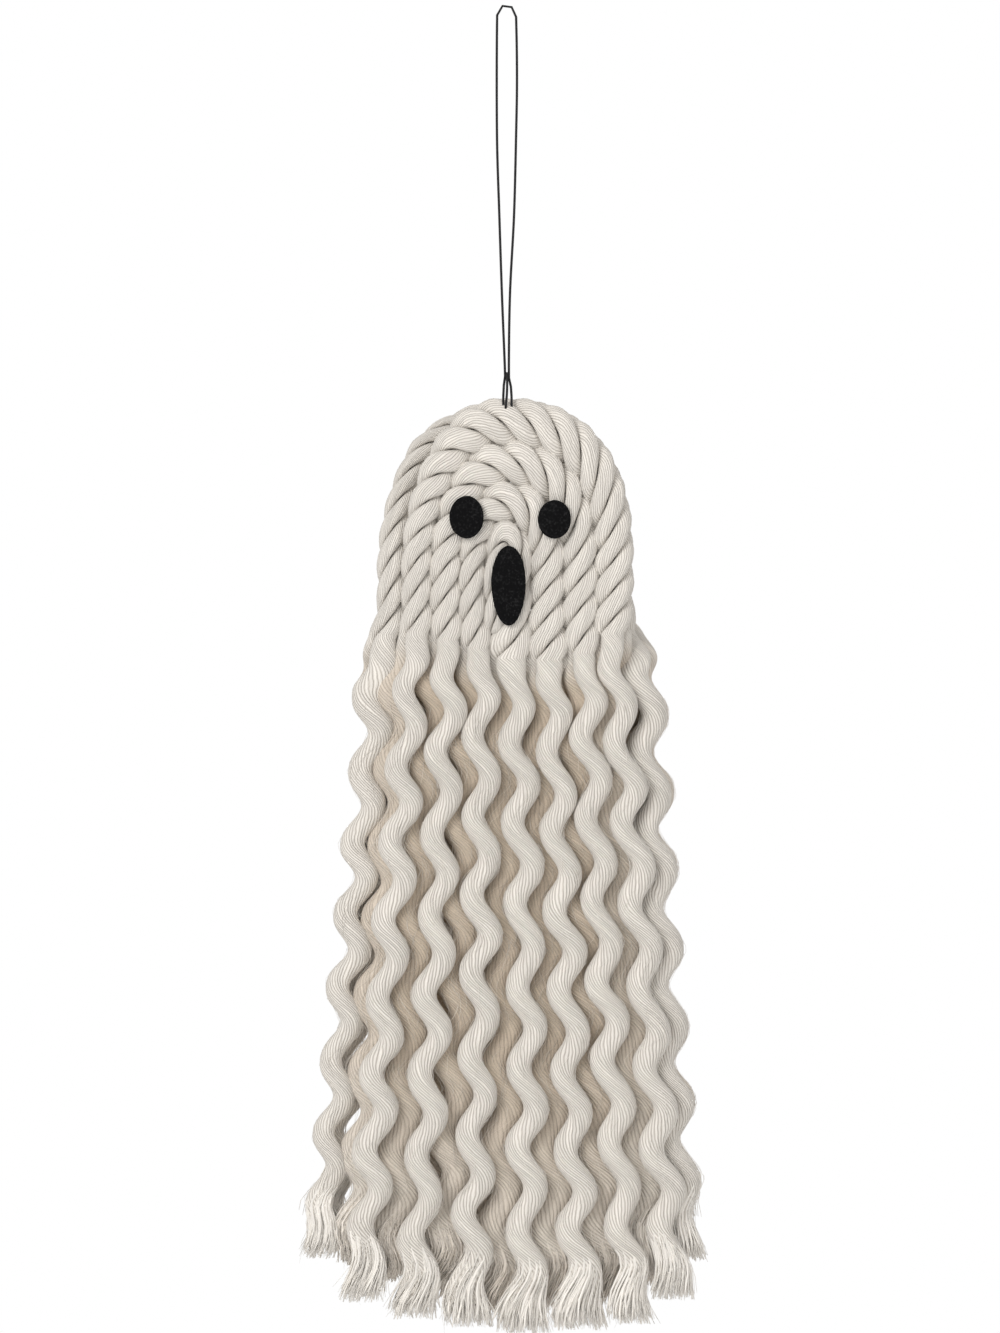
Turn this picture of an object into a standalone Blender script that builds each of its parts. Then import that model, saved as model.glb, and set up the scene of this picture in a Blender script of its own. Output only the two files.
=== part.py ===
"""Hanging ghost ornament of laid cotton rope, modelled at its real size.

Five pieces of three-strand rope are bent into nested arches that make the head. Below the
neck each leg is un-laid, and its three strands hang in the waves that the twist left in them.
Felt ovals are the eyes and the mouth, and a thin cord is looped round the top to hang it by.

Metres, +Z up. The origin is the hang point, inside the top of the cord's loop. The face looks
along -Y, and +X is on the viewer's right.
"""
import math

import bmesh
import bpy
import numpy as np

# Head: where the arches spring from, and the width of each rope from the innermost outwards
SPRING_Z = -0.1920
INNER_RISE = 0.0044
ROPE_WIDTHS_LEFT = (0.0078, 0.0081, 0.0102, 0.0092, 0.0091)
ROPE_WIDTHS_RIGHT = (0.0078, 0.0114, 0.0110, 0.0122, 0.0090)
ROPE_WIDTHS_TOP = (0.0126, 0.0128, 0.0133, 0.0152, 0.0044)
ROPE_DEPTH = 0.0104
ROPE_GAP = 0.0006
SQUARENESS_LEFT = 2.0
SQUARENESS_RIGHT = 2.5

# Lay of the rope, and how it comes apart at the neck
LAY_LENGTH = 0.0325
LAID_DROP = 0.0237
UNLAY_LENGTH = 0.0200
UNLAY_SQUEEZE = 0.5
CUT_END_DROP = 0.0200
CUT_END_TAPER = 0.0024

# Outermost rope: it steps back and passes behind the next one at the top
STEP_BACK = 0.0030
STEP_BACK_END = math.radians(35)
PASS_BEHIND_END = math.radians(80)
PASS_BEHIND_SHIFT = 1.0

# Free strands: thickness, waves, layers in depth, frayed brush at the tip
STRAND_WIDTH = 0.0070
STRAND_GAP = 0.0005
FRONT_LAYER_Y = -0.0069
MIDDLE_SHIFTS = (0.0035, 0.0035, 0.0035, 0.0035, 0.0035, 0.0035, 0.0035, 0.0035, 0.0030)
REAR_SHIFTS = (0.0012, 0.0012, 0.0012, 0.0012, 0.0012, 0.0012, 0.0012, -0.0012, 0.0012)
SPREAD_LENGTH = 0.0500
WAVE_HEIGHT = 0.0033
WAVE_DEPTH = 0.0010
WAVE_GROWTH = 0.0200
BRUSH_LENGTH = 0.0190
BRUSH_WIDTHS = (0.0100, 0.0125, 0.0125, 0.0125, 0.0125, 0.0125, 0.0125, 0.0105, 0.0080)
BACK_BRUSH_SHARE = 0.88
BACK_SHORTENING = 0.0120

# Legs from left to right: gaps between neighbouring strands at three heights, and the waves
NECK_DROP = 0.0271
MIDDLE_DROP = 0.1119
END_DROP = 0.2440
FIRST_LEG_X = (-0.0431, -0.0525, -0.0651)
LEG_GAPS_NECK = (0.0049, 0.0045, 0.0035, 0.0042, 0.0052, 0.0052, 0.0025, 0.0023)
LEG_GAPS_MIDDLE = (0.0072, 0.0079, 0.0076, 0.0076, 0.0062, 0.0055, 0.0059, 0.0002)
LEG_GAPS_END = (0.0093, 0.0110, 0.0109, 0.0120, 0.0113, 0.0103, 0.0083, -0.0026)
TIP_DROPS = (0.2332, 0.2475, 0.2532, 0.2559, 0.2587, 0.2570, 0.2549, 0.2468, 0.2342)
WAVE_LENGTHS = (0.0246, 0.0261, 0.0273, 0.0270, 0.0275, 0.0270, 0.0275, 0.0275, 0.0264)
WAVE_CRESTS = (0.0800, 0.0793, 0.0756, 0.0698, 0.0725, 0.0756, 0.0709, 0.0729, 0.0753)

# Where each leg's middle and rear strands hang, as shares of the room to the next leg
MIDDLE_SHARES = (0.35, -0.22, -0.50, -0.50, -0.50, -0.50, -0.50, -0.50, 0.05)
REAR_SHARES = (-0.10, 0.25, 0.25, 0.25, 0.25, 0.25, 0.15, -0.20, -0.10)

# Felt face, placed from the spring line of the arches
FELT_THICKNESS = 0.0015
FELT_GAP = 0.0003
EYE_SIZE_LEFT = (0.0118, 0.0146)
EYE_SIZE_RIGHT = (0.0114, 0.0132)
MOUTH_SIZE = (0.0118, 0.0274)
EYE_PLACE_LEFT = (-0.0137, 0.0179)
EYE_PLACE_RIGHT = (0.0161, 0.0171)
MOUTH_PLACE = (0.0005, -0.0053)
MOUTH_TAPER = 0.06

# Hanging loop
CORD_DIAMETER = 0.00085
CORD_POINTS = 46

# Facets
LAY_STEPS = 6
FRONT_WAVE_STEPS = 4
BACK_WAVE_STEPS = 3
FELT_SIDES = 24

COTTON = (0.80, 0.76, 0.70, 1.0)
FELT = (0.012, 0.012, 0.013, 1.0)
CORD = (0.010, 0.010, 0.011, 1.0)

# One strand's section in the laid rope, as shares of the rope's half width: radius and angle
# from the strand's own direction. The same corners make a round strand once it hangs free.
LAID_SECTION = ((0.09, 0.0), (0.76, -54.0), (1.0, -23.0), (1.0, 23.0), (0.76, 54.0))
ROUND_ANGLES = (180.0, -108.0, -36.0, 36.0, 108.0)
SQUARE_ANGLES = (180.0, -90.0, 0.0, 0.0, 90.0)
CORNERS = len(LAID_SECTION)
SIDE_FACES = (0, CORNERS - 1)
STRANDS_PER_ROPE = 3
FRONT_ANGLE = -math.pi / 2

# Ropes from the outermost inwards: the leg on each side, or None for a cut end
ROPE_LEGS = ((0, 8), (1, 7), (2, 6), (3, 5), (None, 4))


def smooth(value):
    """Ease from 0 to 1 between the values 0 and 1."""
    clamped = min(max(value, 0.0), 1.0)
    return clamped * clamped * (3.0 - 2.0 * clamped)


def reaches(widths, start=0.0):
    """Distance of each rope's edge from the middle, the innermost edge first."""
    return np.concatenate(([start], start + np.cumsum(widths)))


def leg_centres():
    """X of the nine legs at the neck, in the middle of the fringe and at its end."""
    rows = []
    for first, gaps in zip(FIRST_LEG_X, (LEG_GAPS_NECK, LEG_GAPS_MIDDLE, LEG_GAPS_END)):
        steps = np.array(gaps) + STRAND_WIDTH
        rows.append(np.concatenate(([first], first + np.cumsum(steps))))
    return rows


EDGES = np.arange(len(ROPE_WIDTHS_LEFT) + 1)
LEFT_EDGES = reaches(ROPE_WIDTHS_LEFT)
RIGHT_EDGES = reaches(ROPE_WIDTHS_RIGHT)
TOP_EDGES = reaches(ROPE_WIDTHS_TOP, INNER_RISE)
LEG_X = leg_centres()


def leg_x(leg, drop):
    """Centre of a leg, on the parabola through its three heights."""
    levels = (NECK_DROP, MIDDLE_DROP, END_DROP)
    x = 0.0
    for i, level in enumerate(levels):
        weight = 1.0
        for other in levels[:i] + levels[i + 1:]:
            weight *= (drop - other) / (level - other)
        x += weight * LEG_X[i][leg]
    return x


def leg_half_width(leg, drop):
    """Half of the room that a leg has beside its neighbours in the same row."""
    here = leg_x(leg, drop)
    row = [i for i in (leg - 1, leg + 1) if 0 < i < len(TIP_DROPS) - 1]
    return min(abs(leg_x(i, drop) - here) for i in row) / 2


def leg_shift(leg, share, start, drop):
    """Sideways shift of a strand from its leg: a small start that grows to a share of the room."""
    side = 1 if share > 0 else -1
    other = leg + side if 0 <= leg + side < len(TIP_DROPS) else leg - side
    room = abs(leg_x(other, drop) - leg_x(leg, drop))
    spread = smooth((drop - LAID_DROP - UNLAY_LENGTH) / SPREAD_LENGTH)
    return side * start + (share * room - side * start) * spread


def arch_point(turn, level):
    """Point of the head at an angle from the left spring (0) to the right one (pi)."""
    squareness = SQUARENESS_LEFT + (SQUARENESS_RIGHT - SQUARENESS_LEFT) * smooth(turn / math.pi)
    power = 2.0 / squareness
    across = math.cos(turn)
    edges = LEFT_EDGES if across > 0 else RIGHT_EDGES
    x = -math.copysign(abs(across) ** power, across) * np.interp(level, EDGES, edges)
    rise = np.interp(level, EDGES, TOP_EDGES) * max(math.sin(turn), 0.0) ** power
    return x, SPRING_Z + rise


class Rope:
    """One rope's path: down-left leg, arch, down-right leg, as one distance along it."""

    def __init__(self, index):
        self.index = index
        self.outermost = index == 0
        self.level = len(ROPE_LEGS) - 0.5 - index
        self.legs = ROPE_LEGS[index]
        self.turns = np.linspace(0.0, math.pi, 121)
        points = np.array([arch_point(t, self.level_at(t)) for t in self.turns])
        steps = np.hypot(*np.diff(points, axis=0).T)
        self.lengths = np.concatenate(([0.0], np.cumsum(steps)))
        self.arch = self.lengths[-1]
        self.start = -CUT_END_DROP if self.legs[0] is None else -LAID_DROP
        self.end = self.arch + LAID_DROP
        self.lays = max(1, round((self.end - self.start) / LAY_LENGTH))

    def level_at(self, turn):
        """Which edge level the rope's centre follows."""
        if not self.outermost:
            return self.level
        share = (turn - STEP_BACK_END) / (PASS_BEHIND_END - STEP_BACK_END)
        return self.level - PASS_BEHIND_SHIFT * smooth(share)

    def depth_at(self, turn):
        """Y of the rope's centre in the laid part."""
        if not self.outermost:
            return 0.0
        behind = ROPE_DEPTH + ROPE_GAP
        return STEP_BACK + (behind - STEP_BACK) * smooth(turn / STEP_BACK_END)

    def angle(self, along, strand):
        """Direction of a strand round the rope's centre."""
        share = (along - self.start) / (self.end - self.start)
        share = min(max(share, 0.0), 1.0)
        twist = 2 * math.pi * self.lays * share
        return FRONT_ANGLE + twist + 2 * math.pi * strand / STRANDS_PER_ROPE

    def laid_point(self, along, u, v):
        """Point of the laid rope: u across it (+ is inwards), v in depth."""
        turn = float(np.interp(along, self.lengths, self.turns))
        level = self.level_at(turn)
        width = self.width_at(turn, level)
        inset = (0.5 - ROPE_GAP / (2 * width)) * u
        drop = max(-along, along - self.arch, 0.0)
        x, z = arch_point(turn, level - inset)
        y = self.depth_at(turn) + v * ROPE_DEPTH / 2
        leg = self.leg_at(along)
        if drop > 0.0 and leg is not None:
            inwards = 1.0 if along < 0.0 else -1.0
            half = leg_half_width(leg, drop) - ROPE_GAP / 2
            share = smooth((drop - NECK_DROP / 3) / NECK_DROP)
            x += (leg_x(leg, drop) + inwards * u * half - x) * share
        return np.array((x, y, z - drop))

    def width_at(self, turn, level):
        """Room between the rope's two edges, square to its path or nearly so."""
        outer = np.array(arch_point(turn, level + 0.5))
        inner = np.array(arch_point(turn, level - 0.5))
        return float(np.hypot(*(outer - inner)))

    def leg_at(self, along):
        """Leg that a place along the rope belongs to, if any."""
        return self.legs[0] if along < self.arch / 2 else self.legs[1]


def strand_layer(rope, leg, strand, drop):
    """Resting place of a free strand from its leg's centre, as a shift in X and a depth."""
    layer = STRAND_WIDTH + STRAND_GAP
    first = 1 if rope.outermost else 0
    if strand == 0:
        return 0.0, FRONT_LAYER_Y + first * layer
    left_leg = leg == rope.legs[0]
    strand_side = 1 if (strand == 1) == left_leg else -1
    if strand_side * MIDDLE_SHARES[leg] > 0:
        shift = leg_shift(leg, MIDDLE_SHARES[leg], MIDDLE_SHIFTS[leg], drop)
        return shift, FRONT_LAYER_Y + (first + 1) * layer
    shift = leg_shift(leg, REAR_SHARES[leg], REAR_SHIFTS[leg], drop)
    return shift, FRONT_LAYER_Y + (first + 2) * layer


def wave(leg, drop):
    """Sideways and depth offset of a leg's strands, and the slope of the wave."""
    size = smooth((drop - LAID_DROP) / WAVE_GROWTH)
    phase = 2 * math.pi * (drop - WAVE_CRESTS[leg]) / WAVE_LENGTHS[leg]
    slope = 2 * math.pi * WAVE_HEIGHT * size / WAVE_LENGTHS[leg] * math.sin(phase)
    return WAVE_HEIGHT * size * math.cos(phase), WAVE_DEPTH * size * math.sin(phase), slope


def tip_drop(leg, strand):
    """Length of a leg's strand below the spring line."""
    return TIP_DROPS[leg] - (BACK_SHORTENING * strand / 2 if strand else 0.0)


def leg_ring(rope, leg, strand, along):
    """Section of one strand where its leg comes apart or hangs free."""
    left_leg = along < 0.0
    drop = -along if left_leg else along - rope.arch
    inwards = 1.0 if left_leg else -1.0
    apart = smooth((drop - LAID_DROP) / UNLAY_LENGTH)
    offset, layer_y = strand_layer(rope, leg, strand, drop)
    wave_x, wave_y, slope = wave(leg, drop)
    angle = rope.angle(along, strand)
    four_sided = strand > 0 and drop > LAID_DROP + UNLAY_LENGTH
    corners = SQUARE_ANGLES if four_sided else ROUND_ANGLES
    brush = smooth(1.0 - (tip_drop(leg, strand) - drop) / BRUSH_LENGTH)
    tip_width = BRUSH_WIDTHS[leg] * (BACK_BRUSH_SHARE if strand else 1.0)
    half = STRAND_WIDTH / 2 * (1.0 - UNLAY_SQUEEZE * (1.0 - apart))
    wide = half * math.hypot(1.0, slope) * (1 - brush) + tip_width / 2 * brush
    ring = []
    for (radius, turn), corner in zip(LAID_SECTION, corners):
        laid_angle = angle + math.radians(turn)
        laid = rope.laid_point(along, radius * math.cos(laid_angle), radius * math.sin(laid_angle))
        free_angle = angle + math.radians(corner)
        x = leg_x(leg, drop) + offset + inwards * wide * math.cos(free_angle)
        free = np.array((x, layer_y + half * math.sin(free_angle), SPRING_Z - drop))
        point = laid + (free - laid) * apart
        ring.append(point + np.array((wave_x, wave_y, 0.0)))
    return ring


def laid_ring(rope, strand, along):
    """Section of one strand in the laid rope."""
    cut = 1.0
    if rope.legs[0] is None:
        cut = 0.6 + 0.4 * smooth((along - rope.start) / CUT_END_TAPER)
    angle = rope.angle(along, strand)
    ring = []
    for radius, turn in LAID_SECTION:
        corner = angle + math.radians(turn)
        ring.append(rope.laid_point(along, cut * radius * math.cos(corner),
                                    cut * radius * math.sin(corner)))
    return ring


def free_drops(leg, strand):
    """Heights of a free strand's sections, on the same phases of every wave."""
    steps = BACK_WAVE_STEPS if strand else FRONT_WAVE_STEPS
    spacing = WAVE_LENGTHS[leg] / steps
    tip = tip_drop(leg, strand)
    drops = [LAID_DROP + UNLAY_LENGTH * share / 3 for share in (1, 2, 3)]
    drop = WAVE_CRESTS[leg] + spacing / 2
    while drop - spacing > drops[-1] + spacing / 3:
        drop -= spacing
    while drop < tip - BRUSH_LENGTH - spacing / 3:
        drops.append(drop)
        drop += spacing
    return drops + [tip - BRUSH_LENGTH, tip - BRUSH_LENGTH / 2, tip]


def strand_rings(rope, strand):
    """All sections of one strand, from its left end to its right tip."""
    rings = []
    left, right = rope.legs
    if left is not None:
        rings += [leg_ring(rope, left, strand, -drop) for drop in reversed(free_drops(left, strand))]
    places = np.linspace(rope.start, rope.end, rope.lays * LAY_STEPS + 1)
    if left is None:
        places = np.insert(places, 1, rope.start + CUT_END_TAPER)
    rings += [laid_ring(rope, strand, along) for along in places]
    rings += [leg_ring(rope, right, strand, rope.arch + drop) for drop in free_drops(right, strand)]
    return rings


def cotton_material(name, colour, roughness):
    """Principled material of one piece."""
    material = bpy.data.materials.new(name + "_material")
    material.use_nodes = True
    shader = material.node_tree.nodes["Principled BSDF"]
    shader.inputs["Base Color"].default_value = colour
    shader.inputs["Roughness"].default_value = roughness
    shader.inputs["Metallic"].default_value = 0.0
    return material


def add_object(name, data, collection, colour, roughness):
    """Link one named piece with its own material."""
    obj = bpy.data.objects.new(name, data)
    data.materials.append(cotton_material(name, colour, roughness))
    collection.objects.link(obj)
    return obj


def split_quad(low, high, i, j, inwards):
    """Two triangles for one face between sections, folded inwards or outwards."""
    centre = sum((v.co for v in set(low) | set(high)), low[0].co * 0.0)
    centre = centre / len(set(low) | set(high))
    first = ((low[i].co + high[j].co) / 2 - centre).length
    second = ((low[j].co + high[i].co) / 2 - centre).length
    if (first < second) == inwards:
        return (low[i], low[j], high[j]), (low[i], high[j], high[i])
    return (low[i], low[j], high[i]), (low[j], high[j], high[i])


def loft(name, rings, collection):
    """Closed solid through a strand's sections."""
    mesh = bmesh.new()
    rows = []
    for ring in rings:
        row = []
        for point in ring:
            same = row and np.allclose(row[-1].co, point, atol=1e-7)
            row.append(row[-1] if same else mesh.verts.new(point))
        rows.append(row)
    for low, high in zip(rows, rows[1:]):
        for i in range(CORNERS):
            j = (i + 1) % CORNERS
            for corners in split_quad(low, high, i, j, i in SIDE_FACES):
                if len(set(corners)) == 3:
                    mesh.faces.new(corners)
    for row in (rows[0], rows[-1]):
        mesh.faces.new(list(dict.fromkeys(row)))
    bmesh.ops.recalc_face_normals(mesh, faces=mesh.faces)
    data = bpy.data.meshes.new(name)
    mesh.to_mesh(data)
    mesh.free()
    data.shade_smooth()
    return add_object(name, data, collection, COTTON, 0.95)


def felt_oval(name, size, place, taper, collection):
    """Thin felt oval in front of the ropes."""
    mesh = bmesh.new()
    bmesh.ops.create_cone(mesh, cap_ends=True, segments=FELT_SIDES, radius1=0.5, radius2=0.5,
                          depth=FELT_THICKNESS)
    for vert in mesh.verts:
        up = vert.co.y
        vert.co.x *= size[0] * (1.0 + 2 * taper * up)
        vert.co.y *= size[1]
    data = bpy.data.meshes.new(name)
    mesh.to_mesh(data)
    mesh.free()
    obj = add_object(name, data, collection, FELT, 0.95)
    front = -(ROPE_DEPTH / 2 + FELT_GAP + FELT_THICKNESS / 2)
    obj.location = (place[0], front, SPRING_Z + place[1])
    obj.rotation_euler = (math.pi / 2, 0.0, 0.0)
    return obj


def smooth_route(points, count):
    """Even points on a smooth curve through the route's own points."""
    route = np.array(points)
    padded = np.vstack((2 * route[0] - route[1], route, 2 * route[-1] - route[-2]))
    dense = []
    for a, b, c, d in zip(padded, padded[1:], padded[2:], padded[3:]):
        for t in np.linspace(0.0, 1.0, 40, endpoint=False):
            dense.append(0.5 * (2 * b + (c - a) * t + (2 * a - 5 * b + 4 * c - d) * t ** 2
                                + (3 * b - a - 3 * c + d) * t ** 3))
    dense.append(route[-1])
    dense = np.array(dense)
    lengths = np.concatenate(([0.0], np.cumsum(np.linalg.norm(np.diff(dense, axis=0), axis=1))))
    marks = np.linspace(0.0, lengths[-1], count)
    return np.column_stack([np.interp(marks, lengths, dense[:, i]) for i in range(3)])


def hanging_loop(collection):
    """Thin cord: from the front of the head up one side, over the bight and down again."""
    top_z = SPRING_Z + TOP_EDGES[-2]
    front = -(ROPE_DEPTH / 2 + CORD_DIAMETER / 2)
    bight = CORD_DIAMETER / 2
    points = (
        (-0.00125, 0.68 * front, top_z - 0.0024),
        (-0.00125, 0.33 * front, top_z + 0.0008),
        (-0.00105, 0.22 * front, top_z + 0.0047),
        (-0.00065, 0.16 * front, top_z + 0.0078),
        (-0.0017, 0.10 * front, top_z + 0.0349),
        (-0.0026, 0.0, top_z + 0.0623),
        (-0.0034, 0.0, top_z + 0.0895),
        (-0.0034, 0.0, bight - 0.0085),
        (-0.0029, 0.0, bight - 0.0029),
        (-0.0002, 0.0, bight),
        (0.0027, 0.0, bight - 0.0029),
        (0.0032, 0.0, bight - 0.0085),
        (0.0034, 0.0, bight - 0.0265),
        (0.0031, 0.0, top_z + 0.0895),
        (0.0024, 0.0, top_z + 0.0623),
        (0.0010, 0.10 * front, top_z + 0.0349),
        (0.00065, 0.16 * front, top_z + 0.0078),
        (0.00125, 0.22 * front, top_z + 0.0047),
        (0.00155, 0.32 * front, top_z + 0.0008),
        (0.00155, 0.67 * front, top_z - 0.0030),
    )
    curve = bpy.data.curves.new("hanging_loop", "CURVE")
    curve.dimensions = "3D"
    curve.bevel_depth = CORD_DIAMETER / 2
    curve.bevel_resolution = 2
    curve.use_fill_caps = True
    spline = curve.splines.new("POLY")
    route = smooth_route(points, CORD_POINTS)
    spline.points.add(len(route) - 1)
    for point, place in zip(spline.points, route):
        point.co = (*place, 1.0)
    return add_object("hanging_loop", curve, collection, CORD, 0.6)


def build():
    """Clear the scene and make every piece."""
    for obj in list(bpy.data.objects):
        bpy.data.objects.remove(obj, do_unlink=True)
    collection = bpy.data.collections.new("hanging_ghost_ornament")
    bpy.context.scene.collection.children.link(collection)
    for index in range(len(ROPE_LEGS)):
        rope = Rope(index)
        for strand in range(STRANDS_PER_ROPE):
            name = f"rope_{index + 1}_strand_{strand + 1}"
            loft(name, strand_rings(rope, strand), collection)
    felt_oval("left_eye", EYE_SIZE_LEFT, EYE_PLACE_LEFT, 0.0, collection)
    felt_oval("right_eye", EYE_SIZE_RIGHT, EYE_PLACE_RIGHT, 0.0, collection)
    felt_oval("mouth", MOUTH_SIZE, MOUTH_PLACE, MOUTH_TAPER, collection)
    hanging_loop(collection)


build()
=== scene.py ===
"""Looks of the hanging ghost ornament: laid rope, wavy un-laid strands, felt face and thin cord.

Every strand is one continuous bundle of yarns, from a frayed tip through the head to the other
tip. Its path is worked out here from the same sizes as the solids that it stands for.
Metres, +Z up, with the origin at the hang point. The face looks along -Y.
"""

import logging
import math
from dataclasses import dataclass, field
from enum import Enum
from typing import ClassVar

import bmesh
import bpy
import numpy as np
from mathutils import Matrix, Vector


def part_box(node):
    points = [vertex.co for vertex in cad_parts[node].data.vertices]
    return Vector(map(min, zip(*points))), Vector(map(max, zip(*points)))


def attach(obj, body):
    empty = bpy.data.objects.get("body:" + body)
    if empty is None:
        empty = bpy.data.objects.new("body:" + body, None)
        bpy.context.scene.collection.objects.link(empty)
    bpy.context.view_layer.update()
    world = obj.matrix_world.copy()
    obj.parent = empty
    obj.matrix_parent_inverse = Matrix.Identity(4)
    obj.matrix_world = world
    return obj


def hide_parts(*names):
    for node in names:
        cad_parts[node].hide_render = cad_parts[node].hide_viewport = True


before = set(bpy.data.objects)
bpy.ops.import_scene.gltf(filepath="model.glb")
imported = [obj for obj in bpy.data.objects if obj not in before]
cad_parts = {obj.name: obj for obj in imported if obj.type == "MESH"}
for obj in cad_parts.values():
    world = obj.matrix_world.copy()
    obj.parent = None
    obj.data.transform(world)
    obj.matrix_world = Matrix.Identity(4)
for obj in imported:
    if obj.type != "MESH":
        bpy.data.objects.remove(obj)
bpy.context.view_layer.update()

logging.basicConfig(level=logging.INFO, format="%(message)s")
LOG = logging.getLogger("ghost")

# Height, rate a metre, rate a seed and start of each wave that slow wavering is made of
WANDER_WAVES = ((0.5, 61.0, 2.1, 0.0), (0.32, 143.0, 5.3, 1.0), (0.18, 307.0, 8.7, 2.0))
FACE_PIECES = ("left_eye", "right_eye", "mouth")
FACE_SEED_STEP = 1.3
# Names of the yarns' own map and of the two masks that the cotton reads: depth_shade, where painted
# shade, warm and dark, goes on strands behind others, and loose_yarn, the loose yarns that get
# painted light as a lighter colour and lose the grooves
YARN_MAP = "yarn_map"
DEPTH_SHADE = "depth_shade"
LOOSE_YARN = "loose_yarn"
Triple = tuple[float, float, float]
Colour = tuple[float, float, float]


class Slot(Enum):
    """Material slots of the record."""

    COTTON = "cotton_strand"
    FELT = "black_felt"
    CORD = "black_cord"


class Layer(Enum):
    """Depth layers that the free strands hang in, counted from the front."""

    FRONT = 0
    MIDDLE = 1
    REAR = 2


def ease(value: float) -> float:
    """Smooth step from 0 to 1 between the values 0 and 1."""
    clamped = min(max(value, 0.0), 1.0)
    return clamped * clamped * (3.0 - 2.0 * clamped)


def smooth_point(a: np.ndarray, b: np.ndarray, c: np.ndarray, d: np.ndarray,
                 share: float) -> np.ndarray:
    """Point of the smooth curve between b and c that the points a and d also steer.

    Args:
        a: Point before the stretch.
        b: Start of the stretch.
        c: End of the stretch.
        d: Point after the stretch.
        share: How far along the stretch, from 0 to 1.

    Returns:
        The point.
    """
    return 0.5 * (2 * b + (c - a) * share + (2 * a - 5 * b + 4 * c - d) * share ** 2
                  + (3 * b - a - 3 * c + d) * share ** 3)


def even_points(dense: np.ndarray, count: int, closed: bool) -> np.ndarray:
    """Evenly spaced points along a finely drawn line.

    Args:
        dense: Points of the line, with the first one repeated at the end of a closed line.
        count: How many points are wanted.
        closed: Whether the line is closed, so that its last point is left out.

    Returns:
        The points.
    """
    steps = np.linalg.norm(np.diff(dense, axis=0), axis=1)
    lengths = np.concatenate(([0.0], np.cumsum(steps)))
    marks = np.linspace(0.0, lengths[-1], count, endpoint=not closed)
    return np.column_stack([np.interp(marks, lengths, column) for column in dense.T])


def put_in_scene(name: str, data: bpy.types.ID) -> bpy.types.Object:
    """Make an object of a mesh, curve, lamp or camera.

    Args:
        name: Name of the object.
        data: What it shows.

    Returns:
        The object.
    """
    piece = bpy.data.objects.new(name, data)
    bpy.context.scene.collection.objects.link(piece)
    return piece


def wander(place: float, seed: float) -> float:
    """Slow wavering between about -1 and 1 along a length, the same on every run.

    Args:
        place: Distance along the piece in metres.
        seed: Number that sets one piece's wavering apart from another's.

    Returns:
        The wavering at that place.
    """
    return sum(height * math.sin(place * rate + seed * seed_rate + start)
               for height, rate, seed_rate, start in WANDER_WAVES)


@dataclass(frozen=True)
class HeadSizes:
    """Sizes of the arches, from the innermost rope outwards, in metres."""

    spring_z: float = -0.1920
    inner_rise: float = 0.0044
    widths_left: tuple[float, ...] = (0.0078, 0.0081, 0.0102, 0.0092, 0.0091)
    widths_right: tuple[float, ...] = (0.0078, 0.0114, 0.0110, 0.0122, 0.0090)
    widths_top: tuple[float, ...] = (0.0126, 0.0128, 0.0133, 0.0152, 0.0044)
    rope_depth: float = 0.0104
    rope_overlap: float = 0.0021
    # Width that stands for one edge level where the overlap is turned into levels
    level_width: float = 0.0200
    squareness_left: float = 2.0
    squareness_right: float = 2.5
    lay_length: float = 0.0325
    laid_drops: tuple[float, ...] = (0.0225, 0.0215, 0.0237, 0.0265, 0.0300, 0.0305, 0.0280, 0.0215,
                                     0.0205)
    unlay_length: float = 0.0200
    # Bulge of the innermost rope's leg: its size, where it grows and fades, and over what lengths
    last_leg_swell: float = 0.0036
    swell_drops: tuple[float, float] = (0.014, 0.031)
    swell_fades: tuple[float, float] = (0.009, 0.012)
    cut_end_drop: float = 0.0226
    cut_end_taper: float = 0.0060
    cut_end_share: float = 0.25
    laid_variation: float = 0.012
    behind_gap: float = 0.0006
    step_back: float = 0.0030
    step_back_end: float = math.radians(35)
    pass_behind_end: float = math.radians(80)
    pass_behind_shift: float = 1.0


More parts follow.
